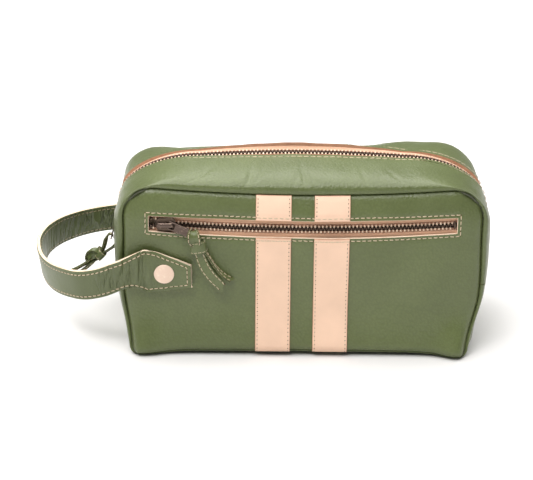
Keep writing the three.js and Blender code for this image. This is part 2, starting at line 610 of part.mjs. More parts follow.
const { innerY, layer } = STRAP;
const outerY = innerY + 2 * layer + GAP;
add("handle_inner_layer", strapLayer(innerY, innerY + layer), MATERIAL.green);
add("handle_outer_layer", strapLayer(innerY + layer + GAP, outerY), MATERIAL.green);

// ---------------------------------------------------------------- press studs

// Turns a profile of [radius, distance from the bag's middle] about the stud's axis.
function turned(profile, side) {
  const points = profile.map(([radius, y]) => new THREE.Vector2(radius, y));
  const made = new THREE.LatheGeometry(points, 24);
  const placed = side > 0 ? made : made.rotateX(Math.PI);
  return placed.translate(STUD.x, 0, STUD.z);
}

for (const [label, side] of [["front", -1], ["back", 1]]) {
  const face = PANEL_Y + GAP;
  // Stud: a flange on the panel, a head outside it, and a post through it.
  add(`${label}_stud`, turned([
    [0, face - 2.95], [1.6, face - 2.95], [1.6, face], [5, face], [5, face + 0.5], [3, face + 0.5],
    [2.7, face + 1.2], [3, face + 1.6], [2.4, face + 2], [0, face + 2],
  ], side), MATERIAL.steel);
  // Washer that clinches the post inside the bag.
  add(`${label}_stud_washer`, turned([
    [1.95, face - 2.9], [5, face - 2.9], [5, face - 2.25], [1.95, face - 2.25], [1.95, face - 2.9],
  ], side), MATERIAL.steel);
  // Socket on the strap's inside, round the stud's head.
  add(`${label}_socket`, turned([
    [3.4, face + 0.85], [5.8, face + 0.85], [6.2, face + 1.4], [6.2, face + 2.1], [3.4, face + 2.1],
    [3.4, face + 0.85],
  ], side), MATERIAL.steel);
  // Domed cap outside the strap, with its post through both layers.
  const base = outerY + GAP;
  add(`${label}_cap`, turned([
    [0, innerY + 0.1], [1.7, innerY + 0.1], [1.7, base], [7.2, base], [7.3, base + 0.5], [6.6, base + 1.1],
    [4, base + 1.5], [0, base + 1.6],
  ], side), MATERIAL.cap);
}

export default group;
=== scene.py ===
"""The look of the leather wash bag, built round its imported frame.

Lengths are in millimetres until a mesh is made. x runs to the right, y to the back and z up.
"""
import json
import math

import bmesh
import bpy
import numpy as np
from mathutils import Matrix, Vector
from mathutils.geometry import delaunay_2d_cdt


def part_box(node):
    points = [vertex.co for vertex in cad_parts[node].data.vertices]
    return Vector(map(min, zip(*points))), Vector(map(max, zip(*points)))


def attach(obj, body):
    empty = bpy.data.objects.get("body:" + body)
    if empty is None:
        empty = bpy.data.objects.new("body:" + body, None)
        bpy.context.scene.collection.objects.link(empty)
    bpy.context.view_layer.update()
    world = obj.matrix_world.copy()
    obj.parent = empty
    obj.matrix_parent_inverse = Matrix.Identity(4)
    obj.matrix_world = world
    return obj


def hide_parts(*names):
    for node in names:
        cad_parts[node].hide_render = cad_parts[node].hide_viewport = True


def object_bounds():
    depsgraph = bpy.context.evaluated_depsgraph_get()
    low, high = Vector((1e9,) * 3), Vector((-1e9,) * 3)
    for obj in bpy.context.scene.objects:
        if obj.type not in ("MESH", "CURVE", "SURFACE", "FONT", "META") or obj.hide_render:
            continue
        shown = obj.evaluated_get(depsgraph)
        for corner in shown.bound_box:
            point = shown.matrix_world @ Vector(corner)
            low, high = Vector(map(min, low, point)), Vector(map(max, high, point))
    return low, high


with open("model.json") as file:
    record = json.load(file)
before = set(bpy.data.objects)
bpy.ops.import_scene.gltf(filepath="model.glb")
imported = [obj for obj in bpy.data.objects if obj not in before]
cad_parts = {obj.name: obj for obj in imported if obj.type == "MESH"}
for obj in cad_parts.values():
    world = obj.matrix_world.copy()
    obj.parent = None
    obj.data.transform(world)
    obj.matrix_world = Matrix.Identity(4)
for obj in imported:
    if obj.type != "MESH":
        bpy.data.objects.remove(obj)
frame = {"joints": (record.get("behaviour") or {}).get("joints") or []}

cad_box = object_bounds()
scene = bpy.context.scene
MM = 0.001


def mm_box(node):
    """A CAD node's lowest and highest corners, in millimetres."""
    return tuple(np.array(corner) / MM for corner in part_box(node))


def joint_axis(name):
    """A joint's pivot in millimetres and its axis."""
    found = next(j for j in frame["joints"] if j["name"] == name)
    return np.array(found.get("pos_m", (0, 0, 0)), float) / MM, np.array(found["axis"], float)


# ---------------------------------------------------------------- camera

TARGET = Vector((-24.8, 0, 64)) * MM
ELEVATION, ROLL, DISTANCE, LENS = math.radians(21.5), math.radians(0.5), 1.1, 102.5


def add_camera():
    camera = bpy.data.objects.new("camera", bpy.data.cameras.new("camera"))
    camera.data.lens = LENS
    camera.data.sensor_width = 36
    back = Vector((0, -math.cos(ELEVATION), math.sin(ELEVATION)))
    right = Vector((1, 0, 0))
    up = back.cross(right)
    rolled_right = math.cos(ROLL) * right + math.sin(ROLL) * up
    rolled_up = -math.sin(ROLL) * right + math.cos(ROLL) * up
    camera.matrix_world = Matrix.Translation(TARGET + DISTANCE * back) @ Matrix(
        (rolled_right, rolled_up, back)
    ).transposed().to_4x4()
    scene.collection.objects.link(camera)
    scene.camera = camera


add_camera()

# ---------------------------------------------------------------- materials


def new_material(name, base, roughness=0.6, metallic=0.0, specular=0.5):
    material = bpy.data.materials.new(name)
    material.use_nodes = True
    shader = material.node_tree.nodes["Principled BSDF"]
    shader.inputs["Base Color"].default_value = (*base, 1)
    shader.inputs["Roughness"].default_value = roughness
    shader.inputs["Metallic"].default_value = metallic
    shader.inputs["Specular IOR Level"].default_value = specular
    return material, shader


class Nodes:
    """Short names for wiring a material."""

    def __init__(self, material):
        self.tree = material.node_tree
        self.place = self.tree.nodes.new("ShaderNodeTexCoord").outputs["Object"]

    def link(self, value, socket):
        """Gives a socket another node's output, or a fixed value."""
        if isinstance(value, bpy.types.NodeSocket):
            self.tree.links.new(value, socket)
        else:
            socket.default_value = value

    def node(self, kind, **inputs):
        made = self.tree.nodes.new(kind)
        for key, value in inputs.items():
            self.link(value, made.inputs[key])
        return made

    def noise(self, scale, detail=3.0, roughness=0.55, place=None):
        place = self.place if place is None else place
        made = self.node("ShaderNodeTexNoise", Vector=place, Scale=scale, Detail=detail, Roughness=roughness)
        return made.outputs["Fac"]

    def cells(self, scale):
        return self.node("ShaderNodeTexVoronoi", Vector=self.place, Scale=scale).outputs["Distance"]

    def spread(self, value, low, high, to_low=0.0, to_high=1.0):
        ends = {"From Min": low, "From Max": high, "To Min": to_low, "To Max": to_high}
        return self.node("ShaderNodeMapRange", Value=value, **ends).outputs["Result"]

    def math(self, how, a, b):
        made = self.tree.nodes.new("ShaderNodeMath")
        made.operation = how
        for socket, value in zip(made.inputs, (a, b)):
            self.link(value, socket)
        return made.outputs["Value"]

    def mix(self, factor, a, b):
        made = self.tree.nodes.new("ShaderNodeMix")
        made.data_type = "RGBA"
        for socket, value in ((made.inputs[0], factor), (made.inputs[6], a), (made.inputs[7], b)):
            self.link((*value, 1) if isinstance(value, tuple) else value, socket)
        return made.outputs[2]

    def bump(self, height, strength, distance, under=None):
        made = self.node("ShaderNodeBump", Height=height, Strength=strength, Distance=distance)
        if under is not None:
            self.link(under, made.inputs["Normal"])
        return made.outputs["Normal"]


def scaled(rgb, factor):
    return tuple(min(1.0, c * factor) for c in rgb)


def grained_leather(name, base, grain=560, relief=0.00044, roughness=0.34):
    """Finished leather: pebbles of two sizes, soft creases, and a colour that drifts a little."""
    material, shader = new_material(name, base, roughness, specular=0.5)
    n = Nodes(material)
    drift = n.spread(n.noise(22, 4), 0.3, 0.7)
    pebbles = n.cells(grain)
    fine = n.noise(grain * 3.2, 4)
    valleys = n.spread(pebbles, 0.25, 0.75)
    colour = n.mix(drift, scaled(base, 0.9), scaled(base, 1.12))
    colour = n.mix(n.math("MULTIPLY", valleys, 0.35), colour, scaled(base, 0.72))
    n.link(colour, shader.inputs["Base Color"])
    rough = n.spread(n.noise(60, 5), 0.25, 0.75, roughness - 0.06, roughness + 0.09)
    n.link(rough, shader.inputs["Roughness"])
    height = n.math("SUBTRACT", n.math("MULTIPLY", fine, 0.35), n.math("MULTIPLY", pebbles, 0.8))
    creases = n.bump(n.noise(90, 6, 0.65), 0.35, 0.0006)
    n.link(n.bump(height, 0.55, relief, creases), shader.inputs["Normal"])
    return material


FLEXED_X = -0.122  # where the strap bends most beside its studs


def creased_leather(name, base):
    """Strap leather with folds across it where it has been flexed: near the studs, and inside the bend."""
    material = grained_leather(name, base, 760, 0.00018)
    shader = material.node_tree.nodes["Principled BSDF"]
    n = Nodes(material)
    stretched = n.node("ShaderNodeMapping", Vector=n.place, Scale=(1.0, 1.0, 0.16)).outputs["Vector"]
    some = n.spread(n.noise(120, 2, 0.5, stretched), 0.35, 0.6)
    folds = n.math("MULTIPLY", n.noise(430, 2, 0.5, stretched), some)
    split = n.node("ShaderNodeSeparateXYZ", Vector=n.place)
    near = n.math("SUBTRACT", split.outputs["X"], FLEXED_X)
    near = n.spread(n.math("ABSOLUTE", near, 0), 0.012, 0.026, 1.0, 0.0)
    far = n.spread(split.outputs["Y"], 0.0, 0.04)
    mask = n.math("MAXIMUM", n.math("MULTIPLY", near, 0.8), far)
    old = shader.inputs["Normal"].links[0].from_socket
    ridges = n.math("ABSOLUTE", n.math("SUBTRACT", folds, 0.27), 0)
    n.link(n.bump(n.math("MULTIPLY", ridges, mask), 1.0, 0.006, old), shader.inputs["Normal"])
    return material


def natural_leather(name, base):
    """Undyed leather: smooth, with faint pores and warm patches."""
    material, shader = new_material(name, base, 0.62, specular=0.35)
    n = Nodes(material)
    patches = n.spread(n.noise(35, 5), 0.3, 0.7)
    colour = n.mix(patches, scaled(base, 0.94), scaled(base, 1.05))
    pores = n.spread(n.cells(1500), 0.0, 0.2)
    colour = n.mix(pores, scaled(base, 0.88), colour)
    n.link(colour, shader.inputs["Base Color"])
    height = n.math("ADD", n.noise(700, 4), n.math("MULTIPLY", n.noise(2600, 3), 0.5))
    n.link(n.bump(height, 0.25, 0.00015), shader.inputs["Normal"])
    return material


def raw_edge(name, base, dark):
    """A cut leather edge: fibres in layers, a little burnt by the blade."""
    material, shader = new_material(name, base, 0.8, specular=0.2)
    n = Nodes(material)
    fibres = n.spread(n.noise(1700, 5, 0.7), 0.35, 0.65)
    stains = n.spread(n.noise(160, 4), 0.45, 0.75)
    colour = n.mix(n.math("MULTIPLY", fibres, 0.5), base, dark)
    n.link(n.mix(n.math("MULTIPLY", stains, 0.5), colour, dark), shader.inputs["Base Color"])
    n.link(n.bump(n.noise(2200, 4), 0.5, 0.0002), shader.inputs["Normal"])
    return material


def thread_material(name, base):
    """Twisted sewing thread."""
    material, shader = new_material(name, base, 0.7, specular=0.25)
    shader.inputs["Sheen Weight"].default_value = 0.3
    n = Nodes(material)
    twist = n.node("ShaderNodeTexWave", Vector=n.place, Scale=1500.0, Distortion=2.0)
    twist.bands_direction = "DIAGONAL"
    n.link(n.mix(twist.outputs["Fac"], scaled(base, 0.82), base), shader.inputs["Base Color"])
    n.link(n.bump(twist.outputs["Fac"], 0.5, 0.0001), shader.inputs["Normal"])
    return material


def woven(name, base, threads):
    """Woven tape or cloth: two crossed sets of threads, so many to the metre."""
    material, shader = new_material(name, base, 0.88, specular=0.2)
    shader.inputs["Sheen Weight"].default_value = 0.25
    n = Nodes(material)
    sets = []
    for direction in ("X", "Z"):
        wave = n.node("ShaderNodeTexWave", Vector=n.place, Scale=threads / (2 * math.pi), Distortion=0.6)
        wave.bands_direction = direction
        sets.append(wave.outputs["Fac"])
    height = n.math("MULTIPLY", n.math("ADD", sets[0], sets[1]), 0.5)
    colour = n.mix(n.spread(height, 0.2, 0.8), scaled(base, 0.86), scaled(base, 1.05))
    colour = n.mix(n.math("MULTIPLY", n.noise(300, 4), 0.2), colour, scaled(base, 0.75))
    n.link(colour, shader.inputs["Base Color"])
    n.link(n.bump(height, 0.6, 0.00025), shader.inputs["Normal"])
    return material


def metal(name, base, worn, roughness=0.36, metallic=0.9, wear=0.55):
    """Plated metal with a patina and rubbed patches."""
    material, shader = new_material(name, base, roughness, metallic)
    n = Nodes(material)
    rubbed = n.spread(n.noise(260, 6, 0.65), wear, wear + 0.18)
    n.link(n.mix(rubbed, base, worn), shader.inputs["Base Color"])
    rough = n.spread(n.noise(500, 5), 0.3, 0.7, roughness - 0.08, roughness + 0.14)
    n.link(rough, shader.inputs["Roughness"])
    n.link(n.bump(n.noise(1500, 4), 0.25, 0.00006), shader.inputs["Normal"])
    return material


GREEN = grained_leather("green_grained_leather", (0.115, 0.143, 0.051))
# painted shade: the handle's and the pulls' leathers are darker copies of the bag's green, for the shade the
# strap looks to be in
SHADED_GREEN_STRAP = grained_leather("green_strap_leather_painted_shade", (0.106, 0.130, 0.046), grain=760, relief=0.00018)
SHADED_GREEN_FOLDED = creased_leather("green_creased_leather_painted_shade", (0.106, 0.130, 0.048))
GREEN_BACK = grained_leather("green_flesh_side", (0.085, 0.095, 0.055), 1400, 0.0001, 0.8)
STRIPE = natural_leather("undyed_leather", (0.85, 0.60, 0.44))
EDGE = raw_edge("cut_edge_pale", (0.92, 0.78, 0.62), (0.72, 0.45, 0.28))
EDGE_BROWN = raw_edge("cut_edge_brown", (0.56, 0.33, 0.21), (0.30, 0.15, 0.09))
EDGE_GREEN = raw_edge("cut_edge_green", (0.115, 0.130, 0.060), (0.065, 0.070, 0.035))
EDGE_PINK = raw_edge("cut_edge_pink", (0.70, 0.42, 0.29), (0.48, 0.25, 0.16))
THREAD = thread_material("cream_thread", (0.66, 0.53, 0.36))
PALE_THREAD = thread_material("pale_thread", (0.80, 0.57, 0.41))
SEAM_THREAD = thread_material("dark_green_thread", (0.020, 0.024, 0.014))
# painted shade: the needle holes are small dark discs that stand for the shade inside them
HOLE = new_material("needle_hole", (0.10, 0.05, 0.03), 0.9, specular=0.1)[0]
TAPE = woven("woven_zip_tape", (0.72, 0.44, 0.29), 5200)
# painted shade: a dark copy of the tape for its edge near the chain, so that the gaps between the teeth look
# shaded
SHADED_TAPE_BEAD = woven("woven_tape_bead_painted_shade", (0.30, 0.16, 0.10), 5200)
LINING = woven("cotton_lining", (0.42, 0.33, 0.23), 6500)
DARK_BRASS = metal("dark_antique_brass", (0.095, 0.068, 0.050), (0.32, 0.23, 0.16))
# painted highlight: a lighter copy of the dark brass for the lit bridge and cheeks of the sliders and for the
# pull tabs; its rubbed patches are wear, as on the other metal
LIT_CROWN = metal("dark_brass_rubbed_painted_highlight", (0.115, 0.082, 0.066), (0.34, 0.25, 0.19), 0.3, 0.75)
# painted highlight and painted shade: the teeth's legs take a light brass for the lit outer ends of the
# chain, and their heads a dark brass for its shaded middle
LIT_TOOTH_LEG = metal("rubbed_brass_painted_highlight", (0.54, 0.39, 0.28), (0.80, 0.64, 0.49), 0.5, 0.35, 0.45)
SHADED_TOOTH_HEAD = metal("dark_brass_teeth_painted_shade", (0.090, 0.058, 0.042), (0.22, 0.15, 0.11), 0.45, 0.7)
SNAP_CAP = metal("pale_lacquered_cap", (0.80, 0.61, 0.48), (0.88, 0.72, 0.58), 0.5, 0.15, 0.5)
SNAP_STEEL = metal("nickel_plate", (0.42, 0.40, 0.36), (0.65, 0.62, 0.58), 0.3)

# ---------------------------------------------------------------- meshes


SHARP = math.radians(35)  # an edge that turns more than this stays crisp


class Build:
    """Gathers vertices, faces and their materials for one piece."""

    def __init__(self):
        self.verts, self.faces, self.mats, self.count = [], [], [], 0

    def add(self, verts, faces, mat=0):
        """mat is one material index, or one for each face."""
        verts = np.asarray(verts, float).reshape(-1, 3)
        self.verts.append(verts)
        self.faces.extend([tuple(int(i) + self.count for i in f) for f in faces])
        self.mats.extend([mat] * len(faces) if np.isscalar(mat) else mat)
        self.count += len(verts)

    def make(self, name, materials, body, slot, nodes=()):
        mesh = bpy.data.meshes.new(name)
        mesh.from_pydata((np.concatenate(self.verts) * MM).tolist(), [], self.faces)
        for material in materials:
            mesh.materials.append(material)
        mesh.polygons.foreach_set("material_index", self.mats)
        made = bmesh.new()
        made.from_mesh(mesh)
        bmesh.ops.recalc_face_normals(made, faces=made.faces)
        made.to_mesh(mesh)
        made.free()
        mesh.polygons.foreach_set("use_smooth", [True] * len(mesh.polygons))
        mesh.set_sharp_from_angle(angle=SHARP)
        obj = bpy.data.objects.new(name, mesh)
        scene.collection.objects.link(obj)
        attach(obj, body)
        if nodes:
            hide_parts(*nodes)
        return obj


def quads(rows, columns, wrap=False):
    """The faces of a grid, whose last column may join its first."""
    faces = []
    for i in range(rows - 1):
        a, b = i * columns, (i + 1) * columns
        for j in range(columns if wrap else columns - 1):
            k = (j + 1) % columns
            faces.append((a + j, b + j, b + k, a + k))
    return faces


def capped(rows, sides):
    """The faces of a tube of rings, closed at both ends."""
    last = (rows - 1) * sides
    return quads(rows, sides, True) + [tuple(range(sides)), tuple(range(last, last + sides))]


def unit(v):
    v = np.asarray(v, float)
    return v / np.maximum(np.linalg.norm(v, axis=-1, keepdims=True), 1e-12)


def smooth(value, low, high):
    t = np.clip((np.asarray(value, float) - low) / (high - low), 0, 1)
    return t * t * (3 - 2 * t)


def bell(value, centre, width):
    return np.exp(-(((np.asarray(value, float) - centre) / width) ** 2))


def drift(a, b, scale, seed):
    """Smooth unevenness between about -1 and 1 over two coordinates."""
    rng = np.random.default_rng(seed)
    total = 0
    for k in range(5):
        angle, phase = rng.uniform(0, 2 * math.pi, 2)
        wave = (0.6 + 0.35 * k) / scale
        across = a * math.cos(angle) + b * math.sin(angle)
        total = total + np.sin(wave * across * 2 * math.pi + phase) / (1 + 0.5 * k)
    return total / 2.6


def surface(place, a, b, step=0.2):
    """Points and unit normals of place(a, b), which returns an array of points."""
    a, b = np.broadcast_arrays(np.asarray(a, float), np.asarray(b, float))
    p = place(a, b)
    da = place(a + step, b) - place(a - step, b)
    db = place(a, b + step) - place(a, b - step)
    return p, unit(np.cross(da, db))


def shell(build, face, back, mats=(0, 1, 0), bulge=0.2, columns_mat=None):
    """A sheet between two grids of points, with a slightly rounded cut edge all round.

    columns_mat gives the material of each column of faces, where they differ.
    """
    rows, columns = face.shape[:2]
    middle = (face + back) / 2
    ring = [(0, j) for j in range(columns)] + [(i, columns - 1) for i in range(1, rows)]
    ring += [(rows - 1, j) for j in range(columns - 2, -1, -1)] + [(i, 0) for i in range(rows - 2, 0, -1)]
    out = []
    for i, j in ring:
        inner = middle[min(max(i, 1), rows - 2), min(max(j, 1), columns - 2)]
        away = middle[i, j] - inner
        out.append(middle[i, j] + unit(away) * bulge if rows > 2 and columns > 2 else middle[i, j])
    n = rows * columns
    verts = np.concatenate([face.reshape(-1, 3), back.reshape(-1, 3), np.array(out)])
    faces = quads(rows, columns)
    m = [mats[0]] * len(faces) if columns_mat is None else columns_mat * (rows - 1)
    under = [tuple(n + k for k in reversed(f)) for f in faces]
    faces = faces + under
    m += [mats[2]] * len(under) if columns_mat is None else m
    at = [i * columns + j for i, j in ring]
    for k in range(len(ring)):
        after = (k + 1) % len(ring)
        a, b, mid_a, mid_b = at[k], at[after], 2 * n + k, 2 * n + after
        faces += [(a, b, mid_b, mid_a), (mid_a, mid_b, n + b, n + a)]
        m += [mats[1]] * 2
    build.add(verts, faces, m)


def resample(loop, spacing):
    """Points about spacing apart along a closed line, keeping its corners."""
    loop = np.asarray(loop, float)
    out = []
    for a, b in zip(loop, np.roll(loop, -1, 0)):
        n = max(1, int(round(np.linalg.norm(b - a) / spacing)))
        out += [a + (b - a) * k / n for k in range(n)]
    return np.array(out)


def fillet(line, radius, steps=5, closed=True):
    """Rounds every corner of a line."""
    line = np.asarray(line, float)
    out = []
    for k in range(len(line)):
        before, here, after = line[k - 1], line[k], line[(k + 1) % len(line)]
        if not closed and k in (0, len(line) - 1):
            out.append(here)
            continue
        a, b = unit(before - here), unit(after - here)
        r = min(radius, np.linalg.norm(before - here) * 0.45, np.linalg.norm(after - here) * 0.45)
        start, end = here + a * r, here + b * r
        for t in np.linspace(0, 1, steps):
            out.append((1 - t) ** 2 * start + 2 * t * (1 - t) * here + t * t * end)
    return np.array(out)


def area(loop):
    x, y = np.asarray(loop).T
    return 0.5 * float(np.sum(x * np.roll(y, -1) - y * np.roll(x, -1)))


def inset(loop, distance):
    """Moves a closed line to its left by distance: inwards, where it runs anticlockwise."""
    loop = np.asarray(loop, float)
    along = unit(np.roll(loop, -1, 0) - np.roll(loop, 1, 0))
    return loop + np.stack([-along[:, 1], along[:, 0]], 1) * distance


def distance_to(points, loop):
    """Distance from each point to a closed line."""
    points = np.asarray(points, float)
    a = np.asarray(loop, float)
    ab = np.roll(a, -1, 0) - a
    best = np.full(len(points), 1e9)
    for s in range(0, len(points), 4000):
        p = points[s : s + 4000, None, :]
        t = np.clip(((p - a) * ab).sum(-1) / np.maximum((ab * ab).sum(-1), 1e-12), 0, 1)
        best[s : s + 4000] = np.linalg.norm(p - (a + t[..., None] * ab), axis=-1).min(1)
    return best


def inside(points, loop):
    """Which points are inside a closed line."""
    points = np.asarray(points, float)
    x, y = points[:, 0], points[:, 1]
    result = np.zeros(len(points), bool)
    for (x0, y0), (x1, y1) in zip(loop, np.roll(loop, -1, 0)):
        if y0 == y1:
            continue
        crosses = (y0 > y) != (y1 > y)
        result ^= crosses & (x < (x1 - x0) * (y - y0) / (y1 - y0) + x0)
    return result


def honeycomb(low, high, spacing):
    """A triangular grid of points over a rectangle."""
    grid = []
    for k, b in enumerate(np.arange(low[1], high[1], spacing * 0.866)):
        for a in np.arange(low[0] + (k % 2) * spacing / 2, high[0], spacing):
            grid.append((a, b))
    return np.array(grid).reshape(-1, 2)


def within(points, rims):
    """Which points are inside the first line and outside the others, the holes."""
    keep = inside(points, rims[0])
    for hole in rims[1:]:
        keep &= ~inside(points, hole)
    return keep


def triangulated(rims, grid):
    """Fills the first rim, less the others, with triangles between the rims' and the grid's points.

    Gives the points, the triangles, and the new number of each point.
    """
    edges, start = [], 0
    for rim in rims:
        n = len(rim)
        edges += [(start + k, start + (k + 1) % n) for k in range(n)]
        start += n
    flat = [Vector(p) for p in np.concatenate(rims + [grid])]
    made, _, tris, origin, _, _ = delaunay_2d_cdt(flat, edges, [], 0, 1e-6)
    made = np.array([tuple(p) for p in made])
    tris = [t for t in tris if len(t) == 3]
    keep = within(made[np.array(tris)].mean(1), rims)
    numbers = {old: new for new, olds in enumerate(origin) for old in olds}
    return made, [tuple(t) for t, k in zip(tris, keep) if k], numbers


def leaf(build, outline, holes, spacing, place, thickness, bevel=0.3, mats=(0, 1, 0), extra=(), cut=None):
    """A sheet cut to a flat outline and laid on place(a, b), which gives its outer face.

    mats are the face, edge and back. cut gives the edge material of each hole, bevels included.
    """
    outline = np.asarray(outline, float)
    loops = [outline if area(outline) > 0 else outline[::-1]]
    loops += [h if area(h) < 0 else h[::-1] for h in map(np.asarray, holes)]
    loops = [resample(loop, spacing) for loop in loops]
    rims = [inset(loop, bevel) for loop in loops]
    grid = honeycomb(loops[0].min(0), loops[0].max(0), spacing)
    grid = np.concatenate([grid] + [np.asarray(e, float) for e in extra])
    grid = grid[within(grid, rims)]
    for rim in rims:
        grid = grid[distance_to(grid, rim) > spacing * 0.55]
    made, tris, numbers = triangulated(rims, grid)
    p, n = surface(place, made[:, 0], made[:, 1])
    size = len(made)
    verts = [p, p - n * thickness]
    faces = list(tris) + [tuple(size + i for i in reversed(t)) for t in tris]
    m = [mats[0]] * len(tris) + [mats[2]] * len(tris)
    start, base = 0, 2 * size
    for which, loop in enumerate(loops):
        total = len(loop)
        edge = mats[1] if which == 0 or cut is None else cut
        bevels = cut is not None and (which > 0 or mats[1] == cut)
        edge_p, edge_n = surface(place, loop[:, 0], loop[:, 1])
        rows = [edge_p - edge_n * depth for depth in (bevel, thickness / 2, thickness - bevel)]
        verts += rows
        for k in range(total):
            stacks = []
            for i in (k, (k + 1) % total):
                top = numbers[start + i]
                stacks.append([top] + [base + r * total + i for r in range(3)] + [size + top])
            here, after = stacks
            for r in range(4):
                faces.append((here[r], after[r], after[r + 1], here[r + 1]))
                m.append(edge if 0 < r < 3 or bevels else (mats[0] if r == 0 else mats[2]))
        base += 3 * total
        start += total
    build.add(np.concatenate(verts), faces, m)


def along_line(points, distances):
    """The points at those distances along a line."""
    points = np.asarray(points, float)
    lengths = np.concatenate([[0], np.cumsum(np.linalg.norm(np.diff(points, axis=0), axis=1))])
    return np.stack([np.interp(distances, lengths, points[:, k]) for k in range(points.shape[1])], -1)


def length_of(points):
    return float(np.linalg.norm(np.diff(np.asarray(points, float), axis=0), axis=1).sum())


# a stitch's place along its half length, thickness and height, the last two in thread radii
STITCH = (
    (-1.0, 0.25, -0.45), (-0.88, 0.8, -0.12), (-0.45, 1.0, 0.12), (0.0, 1.0, 0.2),
    (0.45, 1.0, 0.12), (0.88, 0.8, -0.12), (1.0, 0.25, -0.45),
)
SIX = np.arange(6) * math.pi / 3
HOLE_HALF_WIDTH, HOLE_HALF_LENGTH = 0.38, 0.42


def heading(points, at, total):
    """The direction of a line at a distance along it."""
    return unit(along_line(points, min(total, at + 0.3)) - along_line(points, max(0, at - 0.3)))


def stitches(threads, holes, points, normals, pitch, gap, radius, lift=0.12, wobble=0.12, seed=1):
    """A row of stitches along a line on a surface, and the needle holes between them, drawn as small dark
    discs of painted shade.

    lift raises the thread off the surface, and wobble is how unevenly the stitches slant.
    """
    rng = np.random.default_rng(seed)
    total = length_of(points)
    n = max(1, int(round(total / pitch)))
    pitch = total / n
    for k in range(n):
        middle = (k + 0.5) * pitch
        half = (pitch - gap) / 2
        lean = rng.normal(0, wobble)
        rings = []
        for s, size, height in STITCH:
            at = middle + s * half
            normal = unit(along_line(normals, at))
            across = unit(np.cross(normal, heading(points, at, total)))
            centre = along_line(points, at) + normal * (lift + radius * height) + across * lean * s
            ring = np.cos(SIX)[:, None] * across + 0.75 * np.sin(SIX)[:, None] * normal
            rings.append(centre + size * radius * ring)
        threads.add(np.concatenate(rings), capped(len(rings), 6))
    if holes is None:
        return
    # each needle hole: a small disc in the dark hole material, painted shade
    for k in range(n + 1):
        at = min(total - 0.01, max(0.01, k * pitch))
        p, normal = along_line(points, at), unit(along_line(normals, at))
        ahead = heading(points, at, total)
        wide = np.cos(SIX)[:, None] * unit(np.cross(normal, ahead)) * HOLE_HALF_WIDTH
        ring = p + (wide + np.sin(SIX)[:, None] * ahead * HOLE_HALF_LENGTH)
        verts = np.concatenate([ring, [p + normal * 0.07, p - normal * 0.3]])
        faces = [(i, (i + 1) % 6, 6) for i in range(6)] + [((i + 1) % 6, i, 7) for i in range(6)]
        holes.add(verts, faces)


# ---------------------------------------------------------------- the bag's surfaces

# Outlines of the bag seen from the front: the heights of the top and the base at the middle (crown and
# base_mid), where the top's corner starts (shoulder) and its radii (arc), where the bottom corner starts
# (side) and its radius (corner), and the height of the base beside that corner.
SEAM = dict(
    crown=117.9, shoulder=(102, 122), arc=(22, 22), side=(122.0, 6), corner=4.6, base=-0.4, base_mid=0.8,
)
ROLL_SEAM = dict(
    crown=119.0, shoulder=(102, 123.1), arc=(23, 23), side=(122.7, 6), corner=5.3, base=0, base_mid=1.4,
)
BACK_SEAM = dict(SEAM, shoulder=(106, 122), arc=(18.5, 20))
BACK_ROLL = dict(ROLL_SEAM, shoulder=(106, 123.1), arc=(19.5, 21))
FRONT_MID = dict(
    crown=131.4, shoulder=(72, 129.8), arc=(60.3, 35.3), side=(124, 9), corner=9, base=0, base_mid=0,
)
BACK_MID = dict(FRONT_MID, crown=136.2, shoulder=(74, 130.6), arc=(58.3, 36.9))
ZIP_MID = dict(FRONT_MID, crown=133.0, shoulder=(72, 130.3), arc=(60.3, 35.8))
SEAM_Y, ZIP_HALF, ZIP_END = 52.3, 6.2, 2.5


def half_outline(o, h):
    """Half an outline: h runs 0-1 on the top, 1-2 corner, 2-3 side, 3-4 bottom corner, 4-5 base."""
    h = np.clip(np.asarray(h, float), 0, 5)
    part = np.minimum(4, np.floor(h))
    f = h - part
    sx, sz = o["shoulder"]
    ax, az = o["arc"]
    cz, ex = sz - az, sx + ax
    a = f * math.pi / 2
    side_x, side_z = o["side"]
    drop = side_z - o["base"]
    top, foot = o["crown"], side_x - o["corner"]
    x = np.select(
        [part == 0, part == 1, part == 2, part == 3],
        [f * sx, sx + ax * np.sin(a), ex + (side_x - ex) * f, side_x - o["corner"] * (1 - np.cos(a))],
        foot * (1 - f),
    )
    z = np.select(
        [part == 0, part == 1, part == 2, part == 3],
        [top + (sz - top) * f * f, cz + az * np.cos(a), cz + (side_z - cz) * f, side_z - drop * np.sin(a)],
        o["base"] + (o["base_mid"] - o["base"]) * (1 - (1 - f) ** 2),
    )
    return x, z


def rear_drop(x, z):
    """How far the back seam hangs below the front one, x being positive on the right."""
    return (1.8 + 2.6 * (1 - smooth(x, -90, 70)) + 3.6 * (1 - smooth(x, -118, -62))) * smooth(z, 60, 114)


def settled(p):
    """Lets the leather spread towards the base, where the bag's weight pushes it out."""
    x, y, z = np.moveaxis(np.asarray(p, float), -1, 0)
    low = 1 - smooth(z, -2, 48)
    forward = np.sign(y) * np.where(y < 0, 5.0, 3.0) * low**1.6 * smooth(np.abs(y), 20, 50)
    width = 1.9 * bell(z, 54, 26) - np.where(x > 0, 6.0, 2.7) * (1 - smooth(z, 2, 44))
    aside = np.sign(x) * width * smooth(np.abs(x), 85, 118) * smooth(np.abs(y), 30, 52)
    out = smooth(np.abs(y), 20, 50)
    corner = np.sign(y) * bell(x, np.where(x > 0, 114, -114), 14) * np.where(x > 0, 3.6, 1.8) * low**2.2 * out
    arch = 1.9 * (1 - smooth(np.abs(x), 72, 112)) * (1 - smooth(z, -1, 18)) * out
    return np.stack([x + aside, y + forward + corner, np.maximum(z, 0.05 * z) + arch], -1)


